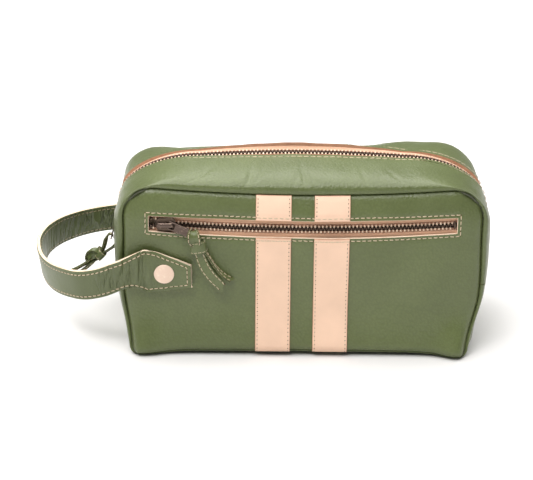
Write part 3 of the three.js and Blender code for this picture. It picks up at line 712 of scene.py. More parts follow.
def gusset_point(u, y):
    """The gusset's outer face at a place u along the outline and a depth y."""
    u, y = np.broadcast_arrays(np.asarray(u, float), np.asarray(y, float))
    h, side, rear = np.abs(u), np.sign(u), y > 0

    def front_or_back(front_outline, back_outline):
        ahead, behind = half_outline(front_outline, h), half_outline(back_outline, h)
        return [np.where(rear, b, f) for f, b in zip(ahead, behind)]

    seam_x, seam_z = front_or_back(ROLL_SEAM, BACK_ROLL)
    mid_x, mid_z = front_or_back(FRONT_MID, BACK_MID)
    seam_z = seam_z - np.where(rear, rear_drop(side * seam_x, seam_z), 0)
    # how full the leather is between the zip and the seam: the back sags between its corners
    full = 2.7 - 0.4 * smooth(h, 1, 1.6) + 3.7 * np.clip(h - 3, 0, 1)
    corner = 1.12 + 0.44 * smooth(side * seam_x, -90, 90)
    sagging = 1.05 + (corner - 1.05) * smooth(seam_x, 52, 92)
    rear_full = sagging + (3.0 - sagging) * smooth(h, 0.95, 1.9) + 3.7 * np.clip(h - 3, 0, 1)
    power = np.where(rear, rear_full, full)
    t = np.where(rear, np.clip((y - ZIP_HALF) / (SEAM_Y - ZIP_HALF), 0, 1), np.clip(-y / SEAM_Y, 0, 1))
    share = np.maximum(0, 1 - t**power) ** (1 / power)
    puff = np.where(rear, bell(h, 1.5, 0.42) * 9.5 * t**3 * (1 - t) * np.where(side < 0, 1.8, 1.2), 0)
    belly = 2.9 * bell(h, 2.42, 0.42) * np.where(rear, 0.6, 1) * smooth(t, 0.12, 0.7) * (1 - t**5)
    waist = 2.0 * bell(h, 1.9, 0.14) * (1 - t**4)
    x = side * (seam_x + (mid_x - seam_x) * share + puff + belly - waist)
    z = seam_z + (mid_z - seam_z) * share + puff * 0.25
    return np.stack([x, y, z], -1)


# puckers along the top seam: x, lean and depth
PUCKERS = (
    (-46, 0.35, 1.3), (-38, -0.2, 0.7), (0, 0.15, 1.3), (-5, -0.4, 0.7),
    (7, 0.5, 0.6), (52, -0.3, 0.6), (-88, -0.3, 0.6), (80, 0.3, 0.5),
)


def gusset_uneven(u, y):
    """How far the leather stands proud of the even surface."""
    x = np.sign(u) * half_outline(SEAM, np.abs(u))[0]
    near_seam = bell(np.abs(y), 44, 9)
    value = 0.45 * drift(x, y, 70, 3) + 0.2 * drift(x, y, 24, 4)
    top = 1 - smooth(np.abs(u), 1.1, 1.6)
    for centre, lean, depth in PUCKERS:
        deep = top * np.where(y < 0, 1, 0.6) * depth * near_seam
        value = value - deep * bell(x - lean * (np.abs(y) - 44), centre, 2.2)
    return value * smooth(SEAM_Y - np.abs(y), 0, 4)


# the gusset's turned edge: how far past SEAM_Y, how far in and how far back
TURN_PAST = (0, 0.7, 1.3, 1.9, 2.5, 3.3)
TURN_IN = (0, 0.7, 1.2, 1.5, 1.6, 1.6)
TURN_BACK = (0, 0.05, 0.4, 0.9, 1.5, 2.3)


def gusset(u, y, depth=0.0):
    """Points of the gusset's leather at a depth below its outer face.

    Beyond SEAM_Y, y counts along the edge, which turns inwards to the seam.
    """
    u, y = np.broadcast_arrays(np.asarray(u, float), np.asarray(y, float))
    past = np.maximum(0, np.abs(y) - SEAM_Y)
    y_on = np.clip(y, -SEAM_Y, SEAM_Y)
    p = gusset_point(u, y_on)
    step = 0.004
    du = gusset_point(np.clip(u + step, -5, 5), y_on) - gusset_point(np.clip(u - step, -5, 5), y_on)
    out = unit(np.stack([-du[..., 2], np.zeros_like(y), du[..., 0]], -1))
    facing = np.sign(y)[..., None] * np.array([0, 1, 0])
    beside = np.sign(y) * 0.25
    a = gusset_point(u, np.clip(y_on + beside, -SEAM_Y, SEAM_Y))
    b = gusset_point(u, np.clip(y_on - beside, -SEAM_Y, SEAM_Y))
    normal = unit(np.cross(du, unit(a - b)))
    normal = normal * np.where((normal * (out + 0.3 * facing)).sum(-1) < 0, -1, 1)[..., None]
    p = p + normal * (gusset_uneven(u, y_on) - depth)[..., None]
    sunk = np.interp(past, TURN_PAST, TURN_IN)
    drawn = np.interp(past, TURN_PAST, TURN_BACK)
    return settled(p - out * sunk[..., None] - facing * drawn[..., None])


def steps_through(stops, counts):
    """Even steps from each stop to the next, with that many points in each stretch."""
    runs = [np.linspace(a, b, n)[1:] for a, b, n in zip(stops, stops[1:], counts)]
    return np.concatenate([[float(stops[0])]] + runs)


def seam_loop(outline):
    """A seam's outline, anticlockwise seen from the front with x to the right."""
    h = steps_through((5, 4, 3, 2, 1, 0), (30, 8, 24, 36, 26))
    x, z = half_outline(outline, h)
    return np.concatenate([np.stack([x, z], 1), np.stack([-x, z], 1)[::-1][1:-1]])


LOOP, BACK_LOOP = seam_loop(SEAM), seam_loop(BACK_SEAM)
PANEL, BACK_PANEL = (fillet(inset(resample(loop, 1.4), 0.8), 0.5, 3) for loop in (LOOP, BACK_LOOP))
POCKET_X = 105.3
FRAME_STITCH = 2.3  # how far the pocket's stitching stands outside the opening
PANEL_FLAT, PANEL_EDGE = 56.2, 50.3
PANEL_LEATHER, GUSSET_LEATHER = 1.6, 1.5


# the pocket's opening: its half length, its height there, how far its middle hangs and its half width
POCKET_REACH, POCKET_END_Z, POCKET_SAG, POCKET_HALF = 105, 97.6, 3.8, 6.0


def pocket_middle(x):
    """The height of the pocket's opening, which hangs in a shallow curve."""
    return POCKET_END_Z - POCKET_SAG * (1 - (np.asarray(x, float) / POCKET_REACH) ** 2)


def pocket_half(x):
    return POCKET_HALF - 0.55 * (np.asarray(x, float) / POCKET_REACH) ** 2


def panel_depth(x, z, side):
    """How far a panel's outer face stands from the middle of the bag."""
    points = np.stack([np.ravel(x), np.ravel(z)], 1)
    loop = LOOP if side < 0 else BACK_LOOP
    d = distance_to(points, loop) - 1.1
    d = np.where(inside(points, loop), np.maximum(d, 0), 0).reshape(np.shape(x))
    roll = 13 + 11 * smooth(z, 90, 116) - 7 * (1 - smooth(z, 3, 24))
    t = np.clip(1 - d / roll, 0, 1)
    power = 2.3 - 0.5 * smooth(z, 92, 112)
    y = PANEL_EDGE + (PANEL_FLAT - PANEL_EDGE) * (1 - t**power) ** (1 / power)
    y = y + 2.6 * bell(np.abs(x), 112, 15) * (1 - smooth(z, 0, 30)) * smooth(d, 0, 4)
    inner = smooth(d, 2, 16)
    broad, fine = (11, 13) if side < 0 else (12, 14)
    y = y + inner * (0.85 * drift(x, z, 85, broad) + 0.22 * drift(x, z, 32, fine))
    y = y + 0.7 * smooth(d, 10, 55)
    if side < 0:  # pressed in along the pocket's stitching
        gap = np.abs(np.abs(z - pocket_middle(x)) - pocket_half(x) - FRAME_STITCH)
        y = y - 0.3 * bell(gap, 0, 1.0) * (np.abs(x) < POCKET_X + 5) * inner
    return y


def front(x, z):
    """The front panel's outer face."""
    return settled(np.stack([x, -panel_depth(x, z, -1), z], -1))


def back(x, z):
    """The back panel's outer face, its x running the other way."""
    return settled(np.stack([-x, panel_depth(-x, z, 1), z - rear_drop(-x, z)], -1))


def raised(place, height):
    """The same surface, raised along its normals."""
    def made(a, b):
        p, n = surface(place, a, b)
        return p + n * height
    return made


# ---------------------------------------------------------------- panels

def letterbox():
    """The outline of the pocket's opening."""
    x = np.linspace(-POCKET_X, POCKET_X, 90)
    low = np.stack([x, pocket_middle(x) - pocket_half(x)], 1)
    high = np.stack([x[::-1], pocket_middle(x[::-1]) + pocket_half(x[::-1])], 1)
    return np.concatenate([low, high])


def near_edge(panel):
    """Extra points close to a panel's edge, where its surface turns most."""
    return [inset(resample(panel, 1.1), away) for away in (0.75, 1.3, 2.2, 3.2)]


letter = letterbox()
around = [resample(inset(resample(letter, 1.2), -away), 1.2) for away in (1.4, 2.3, 3.2)]
build = Build()
leaf(build, PANEL, [letter], 1.9, front, PANEL_LEATHER, 0.35, (0, 0, 2), around + near_edge(PANEL), cut=1)
build.make("front_leather", [GREEN, EDGE, GREEN_BACK], "bag", "green_leather", ["front_panel"])
build = Build()
leaf(build, BACK_PANEL, [], 1.9, back, PANEL_LEATHER, 0.35, (0, 0, 1), near_edge(BACK_PANEL))
build.make("back_leather", [GREEN, GREEN_BACK], "bag", "green_leather", ["back_panel"])

# ---------------------------------------------------------------- top strips and base

TOP_U = steps_through((-ZIP_END, -2, -1, 0, 1, 2, ZIP_END), (30, 70, 90, 90, 70, 30))
EDGE_Y = SEAM_Y + np.array([3.3, 2.6, 2.0, 1.4, 0.9, 0.4])
ZIP_SIDE_Y = ZIP_HALF + np.array([7, 5.2, 4.4, 3.4, 2.2, 1.1, 0])
STRIP_Y = np.concatenate([EDGE_Y, SEAM_Y - np.geomspace(0.001, SEAM_Y - ZIP_HALF - 9, 26), ZIP_SIDE_Y])


for label, side in (("front", -1), ("back", 1)):
    build = Build()
    u, y = np.meshgrid(TOP_U, side * STRIP_Y, indexing="ij")
    lip = 0.7 * (1 - smooth(y, ZIP_HALF, ZIP_HALF + 5)) if side > 0 else 0  # the rear edge is thicker
    shell(build, gusset(u, y), gusset(u, y, GUSSET_LEATHER + lip), (0, 1, 2), 0.15)
    look = [GREEN, EDGE_BROWN, GREEN_BACK]
    build.make(f"top_leather_{label}", look, "bag", "green_leather", [f"top_strip_{label}"])

BASE_U = steps_through((ZIP_END + 0.005, 3, 4, 4.95), (26, 14, 40))
BASE_U = np.concatenate([-BASE_U, BASE_U[::-1]])
BASE_Y = np.concatenate([EDGE_Y, SEAM_Y - np.geomspace(0.001, SEAM_Y, 26)])
BASE_Y = np.concatenate([-BASE_Y, BASE_Y[::-1][1:]])
build = Build()
u, y = np.meshgrid(BASE_U, BASE_Y, indexing="ij")
outer, inner = gusset(u, y), gusset(u, y, GUSSET_LEATHER)
outer[..., 2] = np.maximum(outer[..., 2], 0.0)
shell(build, outer, inner, (0, 0, 1), 0.1)
build.make("base_leather", [GREEN, GREEN_BACK], "bag", "green_leather", ["base_gusset"])

# ---------------------------------------------------------------- stripes

POCKET_LIP = 0.3


def stripe_outline(x0, x1, upper):
    """A stripe's part above or below the pocket, between two places across."""
    x = np.linspace(x0, x1, 12)
    if upper:
        low = np.stack([x, pocket_middle(x) + pocket_half(x) + POCKET_LIP], 1)
        high = np.stack([x[::-1], half_outline(SEAM, np.abs(x[::-1]) / SEAM["shoulder"][0])[1] - 1.5], 1)
    else:
        low = np.stack([x, np.full_like(x, 2.4)], 1)
        high = np.stack([x[::-1], pocket_middle(x[::-1]) - pocket_half(x[::-1]) - POCKET_LIP], 1)
    return np.concatenate([low, high])


STRIPE_RAISE = 1.35
STRIPE_IN, STRIPE_OUT = 7.85, 32.2
for label, x0, x1 in (("left", -STRIPE_OUT, -STRIPE_IN), ("right", STRIPE_IN, STRIPE_OUT)):
    for end in ("lower", "upper"):
        build = Build()
        outline = stripe_outline(x0, x1, end == "upper")
        leaf(build, outline, [], 1.6, raised(front, STRIPE_RAISE), 1.25, 0.4, (0, 1, 0), cut=1)
        name = f"stripe_{label}_{end}"
        build.make(f"{name}_leather", [STRIPE, EDGE_PINK], "bag", "natural_leather", [name])

# ---------------------------------------------------------------- stitching on the bag


def on_front(x, z):
    """Points on the front, stripes included, and their normals."""
    x, z = np.asarray(x, float), np.asarray(z, float)
    p, n = surface(front, x, z)
    on_stripe = (np.abs(x) > STRIPE_IN) & (np.abs(x) < STRIPE_OUT)
    return p + n * np.where(on_stripe, STRIPE_RAISE, 0)[..., None], n


threads, holes = Build(), Build()
FRAME_ROW = dict(pitch=3.8, gap=1.1, radius=0.34)
x = np.linspace(-POCKET_X - FRAME_STITCH, POCKET_X + FRAME_STITCH, 200)
for up in (-1, 1):
    p, n = on_front(x, pocket_middle(x) + up * (pocket_half(x) + FRAME_STITCH))
    stitches(threads, holes, p, n, **FRAME_ROW, seed=5 + up)
for end in (-1, 1):
    reach = pocket_half(POCKET_X) + FRAME_STITCH
    z = np.linspace(pocket_middle(POCKET_X) - reach, pocket_middle(POCKET_X) + reach, 20)
    p, n = on_front(np.full_like(z, end * (POCKET_X + FRAME_STITCH)), z)
    stitches(threads, holes, p, n, **FRAME_ROW, seed=9 + end)
threads.make("pocket_stitching", [THREAD], "bag", "natural_leather")
holes.make("pocket_needle_holes", [HOLE], "bag", "green_leather")

threads, holes = Build(), Build()
STITCH_IN, STITCH_OUT = 9.3, 30.8
for edge in (-STITCH_OUT, -STITCH_IN, STITCH_IN, STITCH_OUT):
    middle, half = float(pocket_middle(edge)), float(pocket_half(edge)) + FRAME_STITCH + 2
    for z0, z1 in ((3.5, middle - half), (middle + half, 114.5)):
        z = np.linspace(z0, z1, 80)
        p, n = on_front(np.full_like(z, edge), z)
        stitches(threads, holes, p, n, pitch=3.0, gap=1.25, radius=0.26, lift=-0.04, seed=int(edge) + 60)
threads.make("stripe_stitching", [PALE_THREAD], "bag", "natural_leather")
holes.make("stripe_needle_holes", [HOLE], "bag", "natural_leather")

threads, holes = Build(), Build()
for side in (-1, 1):
    u = np.linspace(-ZIP_END + 0.03, ZIP_END - 0.03, 700)
    y = np.full_like(u, side * (ZIP_HALF + 4.5))
    p = gusset(u, y)
    n = unit(p - gusset(u, y, 1.0))
    stitches(threads, holes, p, n, pitch=4.6, gap=0.8, radius=0.5, lift=0.58, seed=20 + side)
threads.make("top_zip_stitching", [THREAD], "bag", "natural_leather")
holes.make("top_zip_needle_holes", [HOLE], "bag", "green_leather")

# dark thread that shows in the seams, most at the upper right corner
SEAM_THREAD_Y = 50.9
threads = Build()
for side in (-1, 1):
    line = resample(LOOP if side < 0 else BACK_LOOP, 1.5)
    line = np.concatenate([line, line[:1]])
    proud = smooth(line[:, 0], 70, 112) * smooth(line[:, 1], 78, 104) * 1.1 - 0.3
    drop = rear_drop(line[:, 0], line[:, 1]) if side > 0 else 0
    p = settled(np.stack([line[:, 0], side * (SEAM_THREAD_Y + proud), line[:, 1] - drop], 1))
    outward = np.tile([0, float(side), 0], (len(line), 1))
    stitches(threads, None, p, outward, pitch=4.4, gap=1.4, radius=0.5, lift=-0.15, wobble=0.05, seed=31)
threads.make("seam_stitching", [SEAM_THREAD], "bag", "green_leather")

# ---------------------------------------------------------------- zips

TAPE_SINK = 2.2
TOOTH_PITCH = 2.6
CORD_REACH, CORD_HALF, TAPE_HALF = 3.0, 0.75, 0.33
# the teeth's heads in painted shade and their legs in a painted highlight
TEETH = [SHADED_TOOTH_HEAD, LIT_TOOTH_LEG]
Y = np.array([0, 1.0, 0])


def zip_centre(u):
    """The top chain's middle line and its frame: along, across (+Y) and out."""
    step = 0.004
    def at(v):
        x, z = half_outline(ZIP_MID, np.abs(v))
        return np.stack([np.sign(v) * x, np.zeros_like(v), z], -1)
    u = np.asarray(u, float)
    along = unit(at(np.clip(u + step, -5, 5)) - at(np.clip(u - step, -5, 5)))
    out = np.stack([-along[..., 2], np.zeros_like(u), along[..., 0]], -1)
    tilt = math.radians(21) * (1 - smooth(np.abs(u), 0.75, 1.6))[..., None]
    across = np.cos(tilt) * Y + np.sin(tilt) * out
    return at(u) - out * TAPE_SINK, along, across, np.cos(tilt) * out - np.sin(tilt) * Y


# a tooth's sections: distance from the chain's middle line, half length and half thickness
TOOTH = (
    (-0.55, 0.30, 0.55), (-0.35, 0.52, 0.85), (0.45, 0.56, 0.95), (0.9, 0.45, 0.95),
    (1.15, 0.6, 1.25), (2.3, 0.66, 1.35), (2.7, 0.6, 1.2), (2.85, 0.38, 0.8),
)


HEAD_ROWS = 4  # the sections before this one belong to the tooth's head, coloured dark as painted shade; the leg after them is coloured light as a painted highlight


def tooth(build, centre, along, across, out):
    """One tooth: a leg that grips the tape and a head that meets the other side, the head in dark brass as
    painted shade and the leg in light brass as a painted highlight.

    across points to the tape.
    """
    rings = []
    for w, a, t in TOOTH:
        short_a, short_t = a - 0.32 * a, t - 0.32 * t
        quarter = [(short_a, t), (a, short_t), (a, -short_t), (short_a, -t)]
        ring = quarter + [(-p, -q) for p, q in quarter]
        rings.append([centre + across * w + along * p + out * q for p, q in ring])
    rows = len(rings)
    # head faces take the painted shade, leg faces the painted highlight
    mats = [0] * (HEAD_ROWS * 8) + [1] * ((rows - 1 - HEAD_ROWS) * 8)
    build.add(np.array(rings).reshape(-1, 3), capped(rows, 8), mats + [0, 1])


def make_tape(name, node, p, out, reach, shade_reach):
    """A woven tape with a thick cord inside its edge, coloured dark near the chain as painted shade between
    the teeth. reach is each point's distance from the chain.
    """
    build = Build()
    half = out * np.where(reach < CORD_REACH, CORD_HALF, TAPE_HALF)[..., None]
    # columns near the chain take the dark tape, painted shade between the teeth
    shaded_columns = [1 if r < shade_reach else 0 for r in reach[0, :-1]]
    shell(build, p + half, p - half, (0, 1, 0), 0.1, shaded_columns)
    build.make(name, [TAPE, SHADED_TAPE_BEAD], "bag", "zip_tape", [node])


def top_zip():
    u = np.linspace(-ZIP_END, ZIP_END, 3000)
    line = zip_centre(u)[0]
    lengths = np.concatenate([[0], np.cumsum(np.linalg.norm(np.diff(line, axis=0), axis=1))])
    total = lengths[-1]
    for label, side, first in (("front", -1, 0.0), ("back", 1, TOOTH_PITCH / 2)):
        build = Build()
        for s in np.arange(4.5 + first, total - 4.5, TOOTH_PITCH):
            centre, along, across, out = zip_centre(np.interp(s, lengths, u))
            tooth(build, centre, along, across * side, out)
        build.make(f"top_zip_teeth_{label}", TEETH, "bag", "zip_metal", [f"main_zip_teeth_{label}"])
        places_y = np.concatenate([[1.9, 2.2, 2.6, 3.4, 4.4], np.linspace(5.4, 14.5, 8)])
        grid_u, grid_y = np.meshgrid(np.linspace(-ZIP_END, ZIP_END, 360), places_y, indexing="ij")
        centre, along, across, out = zip_centre(grid_u)
        p = centre + across * (side * grid_y)[..., None]
        # follow the leather where the tape runs under it
        under = smooth(grid_y, 5, 8)[..., None]
        beneath = gusset(grid_u, side * grid_y, 2.1)
        p = p * (1 - under) + beneath * under
        make_tape(f"top_zip_tape_{label}", f"main_zip_tape_{label}", p, out, grid_y, 2.9)


top_zip()


CHAIN_Y = -53.8  # the pocket's chain lies behind the front panel's face


def front_frame(x):
    """The pocket chain's middle line and its frame: along, up and out."""
    x = np.asarray(x, float)
    slope = 2 * POCKET_SAG * x / POCKET_REACH**2
    along = unit(np.stack([np.ones_like(x), np.zeros_like(x), slope], -1))
    up = np.stack([-along[..., 2], np.zeros_like(x), along[..., 0]], -1)
    out = np.broadcast_to(np.array([0, -1.0, 0]), up.shape)
    return np.stack([x, np.full_like(x, CHAIN_Y), pocket_middle(x) - 0.05], -1), along, up, out


def parted(x):
    """How far each row stands from the chain's middle at its closed end, where the rows part."""
    return 1.5 * (1 - smooth(x, -101, -94))


def pocket_zip():
    for label, side, first in (("lower", -1, 0.0), ("upper", 1, TOOTH_PITCH / 2)):
        build = Build()
        for x in np.arange(-102.0 + first, 102.2, TOOTH_PITCH):
            centre, along, up, out = front_frame(x)
            tooth(build, centre + up * side * parted(x), along, up * side, out)
        node = f"pocket_zip_teeth_{label}"
        build.make(f"{node}_row", TEETH, "bag", "zip_metal", [node])
        places_w = np.concatenate([[1.9, 2.2, 2.6, 3.0, 3.4, 4.0], np.linspace(5, 10.5, 7)])
        x, w = np.meshgrid(np.linspace(-106.5, 106.5, 300), places_w, indexing="ij")
        centre, along, up, out = front_frame(x)
        apart = (parted(x) * (1 - smooth(w, 3, 6)))[..., None]
        p = centre + up * side * (w[..., None] + apart)
        node = f"pocket_zip_tape_{label}"
        make_tape(f"{node}_strip", node, p, out, w, 3.3)


pocket_zip()


def stop(name, node, place, half_length, half_width, aside=0.0):
    """A pressed metal stop: a small rounded staple at a place on a chain."""
    centre, along, across, out = place
    turn = np.arange(16) * math.pi / 8
    c, s = np.cos(turn), np.sin(turn)
    c, s = np.sign(c) * np.abs(c) ** 0.6, np.sign(s) * np.abs(s) ** 0.6
    rows = []
    for a, shrink in ((-1, 0.7), (-0.7, 0.95), (0, 1.0), (0.7, 0.95), (1, 0.7)):
        ring = c[:, None] * across * half_width + s[:, None] * out * 1.3
        rows.append(centre + across * aside + along * a * half_length + shrink * ring)
    build = Build()
    build.add(np.concatenate(rows), capped(len(rows), 16))
    build.make(name, [DARK_BRASS], "bag", "zip_metal", [node])


LAST_U = ZIP_END - 0.016
for label, side in (("front", -1), ("back", 1)):
    stop(f"top_zip_top_stop_{label}", f"main_zip_top_stop_{label}", zip_centre(-LAST_U), 1.2, 1.3, side * 1.6)
stop("top_zip_bottom_stop", "main_zip_bottom_stop", zip_centre(LAST_U), 1.2, 3.0)
stop("pocket_zip_bottom_stop_staple", "pocket_zip_bottom_stop", front_frame(103.9), 1.0, 3.0)
for label, side in (("lower", -1), ("upper", 1)):
    node = f"pocket_zip_top_stop_{label}"
    stop(f"{node}_staple", node, front_frame(-103.6), 1.0, 1.3, side * 3.0)

# ---------------------------------------------------------------- linings

LINING_Y = 46.8  # how far the front and back linings stand from the bag's middle


def cloth_grid(build, p, n, thickness=0.5):
    shell(build, p + n * thickness / 2, p - n * thickness / 2, (0, 0, 0), 0.0)


def gusset_cloth(label, u, y, depth):
    """Cloth that follows the gusset at a depth below its outer face."""
    build = Build()
    shell(build, gusset(u, y, depth), gusset(u, y, depth + 0.5), (0, 0, 0), 0.0)
    return build.make(f"lining_{label}_cloth", [LINING], "bag", "lining", [f"lining_{label}"])


for label, side in (("front", -1), ("back", 1)):
    build = Build()
    s, t = np.meshgrid(np.linspace(-1, 1, 60), np.linspace(0, 1, 34), indexing="ij")
    low, high = mm_box(f"lining_{label}")
    x = s * (high[0] - low[0]) / 2 * (0.955 + 0.045 * np.sin(math.pi * t))
    corner = smooth(np.abs(s), 0.72, 1.0)
    z = low[2] + (high[2] - low[2]) * t - corner * t**3 * 22
    z = np.where(t > 0.5, z - 4.0 * (1 - s**2) * (2 * t - 1) ** 2, z)
    y = side * (LINING_Y + 0.8 * drift(x, z, 40, 70 + side))
    p = np.stack([x, y, z], -1)
    cloth_grid(build, p, np.array([0, float(side), 0]))
    cloth = build.make(f"lining_{label}_cloth", [LINING], "bag", "lining", [f"lining_{label}"])
    u, y = np.meshgrid(np.linspace(-ZIP_END, ZIP_END, 160), side * np.linspace(46, 8, 14), indexing="ij")
    cloth = gusset_cloth(f"top_{label}", u, y, 4.6 + 0.3 * drift(u * 40, y, 20, 75))
u, y = np.meshgrid(BASE_U[::2], np.linspace(-46, 46, 24), indexing="ij")
cloth = gusset_cloth("base", u, y, 2.9 + 0.25 * drift(u * 30, y, 25, 77))

# the pocket's bag, folded at the bottom: y and z down its front face and up its back one
build = Build()
low, high = mm_box("pocket_bag")
profile = [
    (-52.6, 90.0), (-52.5, 70.0), (-52.6, 50.0), (-52.4, 30.0), (-52.2, 24.0), (-51.5, 22.2),
    (-50.7, 24.0), (-50.4, 30.0), (-50.3, 60.0), (-50.4, 90.0), (-50.4, 106.5),
]
profile = along_line(profile, np.linspace(0, length_of(profile), 44))
x = np.linspace(low[0], high[0], 70)
grid = np.array([[(a, b[0], b[1]) for b in profile] for a in x])
grid[..., 1] += 0.12 * drift(grid[..., 0], grid[..., 2], 25, 79)
tangent = np.gradient(grid, axis=1)
n = unit(np.cross(np.array([1.0, 0, 0]), tangent))
cloth_grid(build, grid, n, 0.4)
cloth = build.make("pocket_bag_cloth", [LINING], "bag", "lining", ["pocket_bag"])

# ---------------------------------------------------------------- handle


def between(a, b, start, end, at):
    """A value between a and b, for a place between start and end."""
    return (end - at) / (end - start) * a + (at - start) / (end - start) * b


def spline(points, count):
    """Points evenly spaced along a smooth line through the given ones (centripetal Catmull-Rom)."""
    p = np.asarray(points, float)
    p = np.concatenate([[2 * p[0] - p[1]], p, [2 * p[-1] - p[-2]]])
    out = []
    for k in range(1, len(p) - 2):
        p0, p1, p2, p3 = p[k - 1 : k + 3]
        t1 = np.linalg.norm(p1[:3] - p0[:3]) ** 0.5
        t2 = t1 + np.linalg.norm(p2[:3] - p1[:3]) ** 0.5
        t3 = t2 + np.linalg.norm(p3[:3] - p2[:3]) ** 0.5
        for t in np.linspace(t1, t2, 24, endpoint=False):
            a1, a2, a3 = between(p0, p1, 0, t1, t), between(p1, p2, t1, t2, t), between(p2, p3, t2, t3, t)
            out.append(between(between(a1, a2, 0, t2, t), between(a2, a3, t1, t3, t), t1, t2, t))
    out.append(p[-2])
    out = np.array(out)
    lengths = np.concatenate([[0], np.cumsum(np.linalg.norm(np.diff(out[:, :3], axis=0), axis=1))])
    at = np.linspace(0, lengths[-1], count)
    return np.stack([np.interp(at, lengths, out[:, k]) for k in range(out.shape[1])], 1), lengths[-1]


STUD, _ = joint_axis("handle_swing")
STRAP_Y = 60.3  # how far the strap's middle stands from the bag's middle at a stud
# x, y, z of the strap's middle, and how far its upper edge leans outwards
STRAP_LINE = [
    (-75.7, -62.6, 61.3, 0.0), (-85, -60.8, 62.0, 0.0), (-95, -60.3, 62.9, 0.0), (-105.7, -60.6, 64.2, 0.03),
    (-117, -61.6, 63.4, 0.12), (-127, -62.4, 60.8, 0.18), (-139.5, -61.8, 55.8, 0.19),
    (-152.5, -57.4, 52.0, 0.17), (-165, -47.2, 49.8, 0.15), (-176, -33.5, 48.4, 0.16),
    (-184, -19, 49.6, 0.17), (-188, -3, 54.0, 0.12), (-186.6, 13, 56.4, 0.0), (-180, 30, 57.4, -0.1),
    (-169, 44.5, 57.7, -0.18),
    (-155, 55.5, 57.8, -0.22), (-140, 60.8, 58.4, -0.24), (-126, 62.6, 60.0, -0.2), (-113, 61.5, 61.8, -0.08),
    (-103, 60.5, 62.9, 0.0), (-95, 60.3, 62.9, 0.0), (-85, 60.8, 62.2, 0.0), (-75.7, 62.2, 61.3, 0.0),
]
STRAP, STRAP_LENGTH = spline(STRAP_LINE, 700)
STRAP_S = np.linspace(0, STRAP_LENGTH, len(STRAP))
WINDOW = np.hanning(31)
WINDOW = WINDOW / WINDOW.sum()


def eased(values):
    """Values smoothed along the strap."""
    padded = np.concatenate([np.repeat(values[:1], 15, 0), values, np.repeat(values[-1:], 15, 0)])
    return np.stack([np.convolve(padded[:, k], WINDOW, "valid") for k in range(values.shape[1])], 1)


tangent = unit(np.gradient(STRAP[:, :3], axis=0))
outward = unit(np.stack([tangent[:, 1], -tangent[:, 0], np.zeros(len(STRAP))], 1))
if outward[len(STRAP) // 2, 0] > 0:
    outward = -outward
upright = unit(np.array([0, 0, 1.0]) - tangent * tangent[:, 2:3])
upright = unit(upright + outward * STRAP[:, 3:4])
STRAP_T, STRAP_UP = unit(eased(tangent)), unit(eased(upright))
STRAP_OUT = unit(np.cross(STRAP_UP, STRAP_T))
if STRAP_OUT[len(STRAP) // 2, 0] > 0:
    STRAP_OUT = -STRAP_OUT


def strap_at(s, values):
    """The strap's values at a distance s along it."""
    return np.stack([np.interp(s, STRAP_S, values[:, k]) for k in range(3)], -1)


def creases(s, w, seed, strength, slant):
    """Short folds across the strap, as where it has been flexed."""
    rng = np.random.default_rng(seed)
    value = 0.0
    for _ in range(34):
        centre, lean = rng.uniform(-1, 1), rng.normal(slant, 0.22)
        width, depth = rng.uniform(0.4, 0.85), rng.uniform(0.3, 1)
        reach, middle = rng.uniform(4, 11), rng.uniform(-7, 7)
        value = value - depth * bell(s - centre * 22 - lean * w, 0, width) * bell(w, middle, reach)
    return strength * value * smooth(28 - np.abs(s), 0, 12)


to_stud = np.linalg.norm(STRAP[: len(STRAP) // 2, :3] - (STUD[0], -STRAP_Y, STUD[2]), axis=1)
STUD_S = float(STRAP_S[np.argmin(to_stud)])
REAR_S = STRAP_LENGTH - STUD_S
# folds on each face: where along the strap, the seed of their draws, their strength and their slant
INNER_FOLDS = ((REAR_S - 42, 43, 0.20, 0.0), (STUD_S + 60, 44, 0.10, 0.0))
OUTER_FOLDS = ((STUD_S + 24, 45, 0.22, -0.45), (REAR_S - 30, 46, 0.14, 0.0))


def strap_surface(distance, inner):
    """The strap's face at a distance outwards from its middle, as place(s, w)."""
    def place(s, w):
        centre, up, out = strap_at(s, STRAP[:, :3]), strap_at(s, STRAP_UP), strap_at(s, STRAP_OUT)
        push = distance + 0.12 * drift(s, w, 30, 41)
        for at, seed, strength, slant in INNER_FOLDS if inner else OUTER_FOLDS:
            push = push + creases(s - at, w, seed, strength, slant)
        fall = 0.35 * (np.abs(w) / STRAP_HALF) ** 4 * (-1 if distance > 0 else 1)
        return centre + up * w[..., None] + out * (push + fall)[..., None]
    return place


def mirrored(place):
    """The same face with its width reversed, so that it is drawn the other way round."""
    def made(s, w):
        return place(s, -w)
    return made


# a pointed end, from its stud: the tip's, the widest place's and the strap's distance and half width
TIP, APEX, NECK = 19.3, 11.8, 29.0
TIP_HALF, APEX_HALF, STRAP_HALF = 8.0, 16.3, 11.2
SKEW = 0.09  # the pointed ends' upper corners stand further from the tip than the lower ones


def strap_outline(grow=0.0):
    """Half a strap is drawn from the tip, the other half is its mirror image."""
    tip_half, apex_half, half = TIP_HALF + grow, APEX_HALF + grow, STRAP_HALF + grow
    line = [(STUD_S - TIP - grow, tip_half - grow * 0.4), (STUD_S + APEX, apex_half)]
    for t in np.linspace(0, 1, 13)[1:]:
        line.append((STUD_S + APEX + (NECK - APEX) * t, half + (apex_half - half) * (1 - t) ** 1.5))
    upper = line + [(STRAP_LENGTH - s, w) for s, w in line[::-1]]
    lower = [(s, -w) for s, w in upper[::-1]]
    loop = np.array(upper + lower)[::-1]
    middle = STRAP_LENGTH / 2
    ends = smooth(np.abs(loop[:, 0] - middle), middle - STUD_S - 45, middle - STUD_S - 15)
    loop[:, 0] += SKEW * ends * np.sign(middle - loop[:, 0]) * loop[:, 1]
    return loop


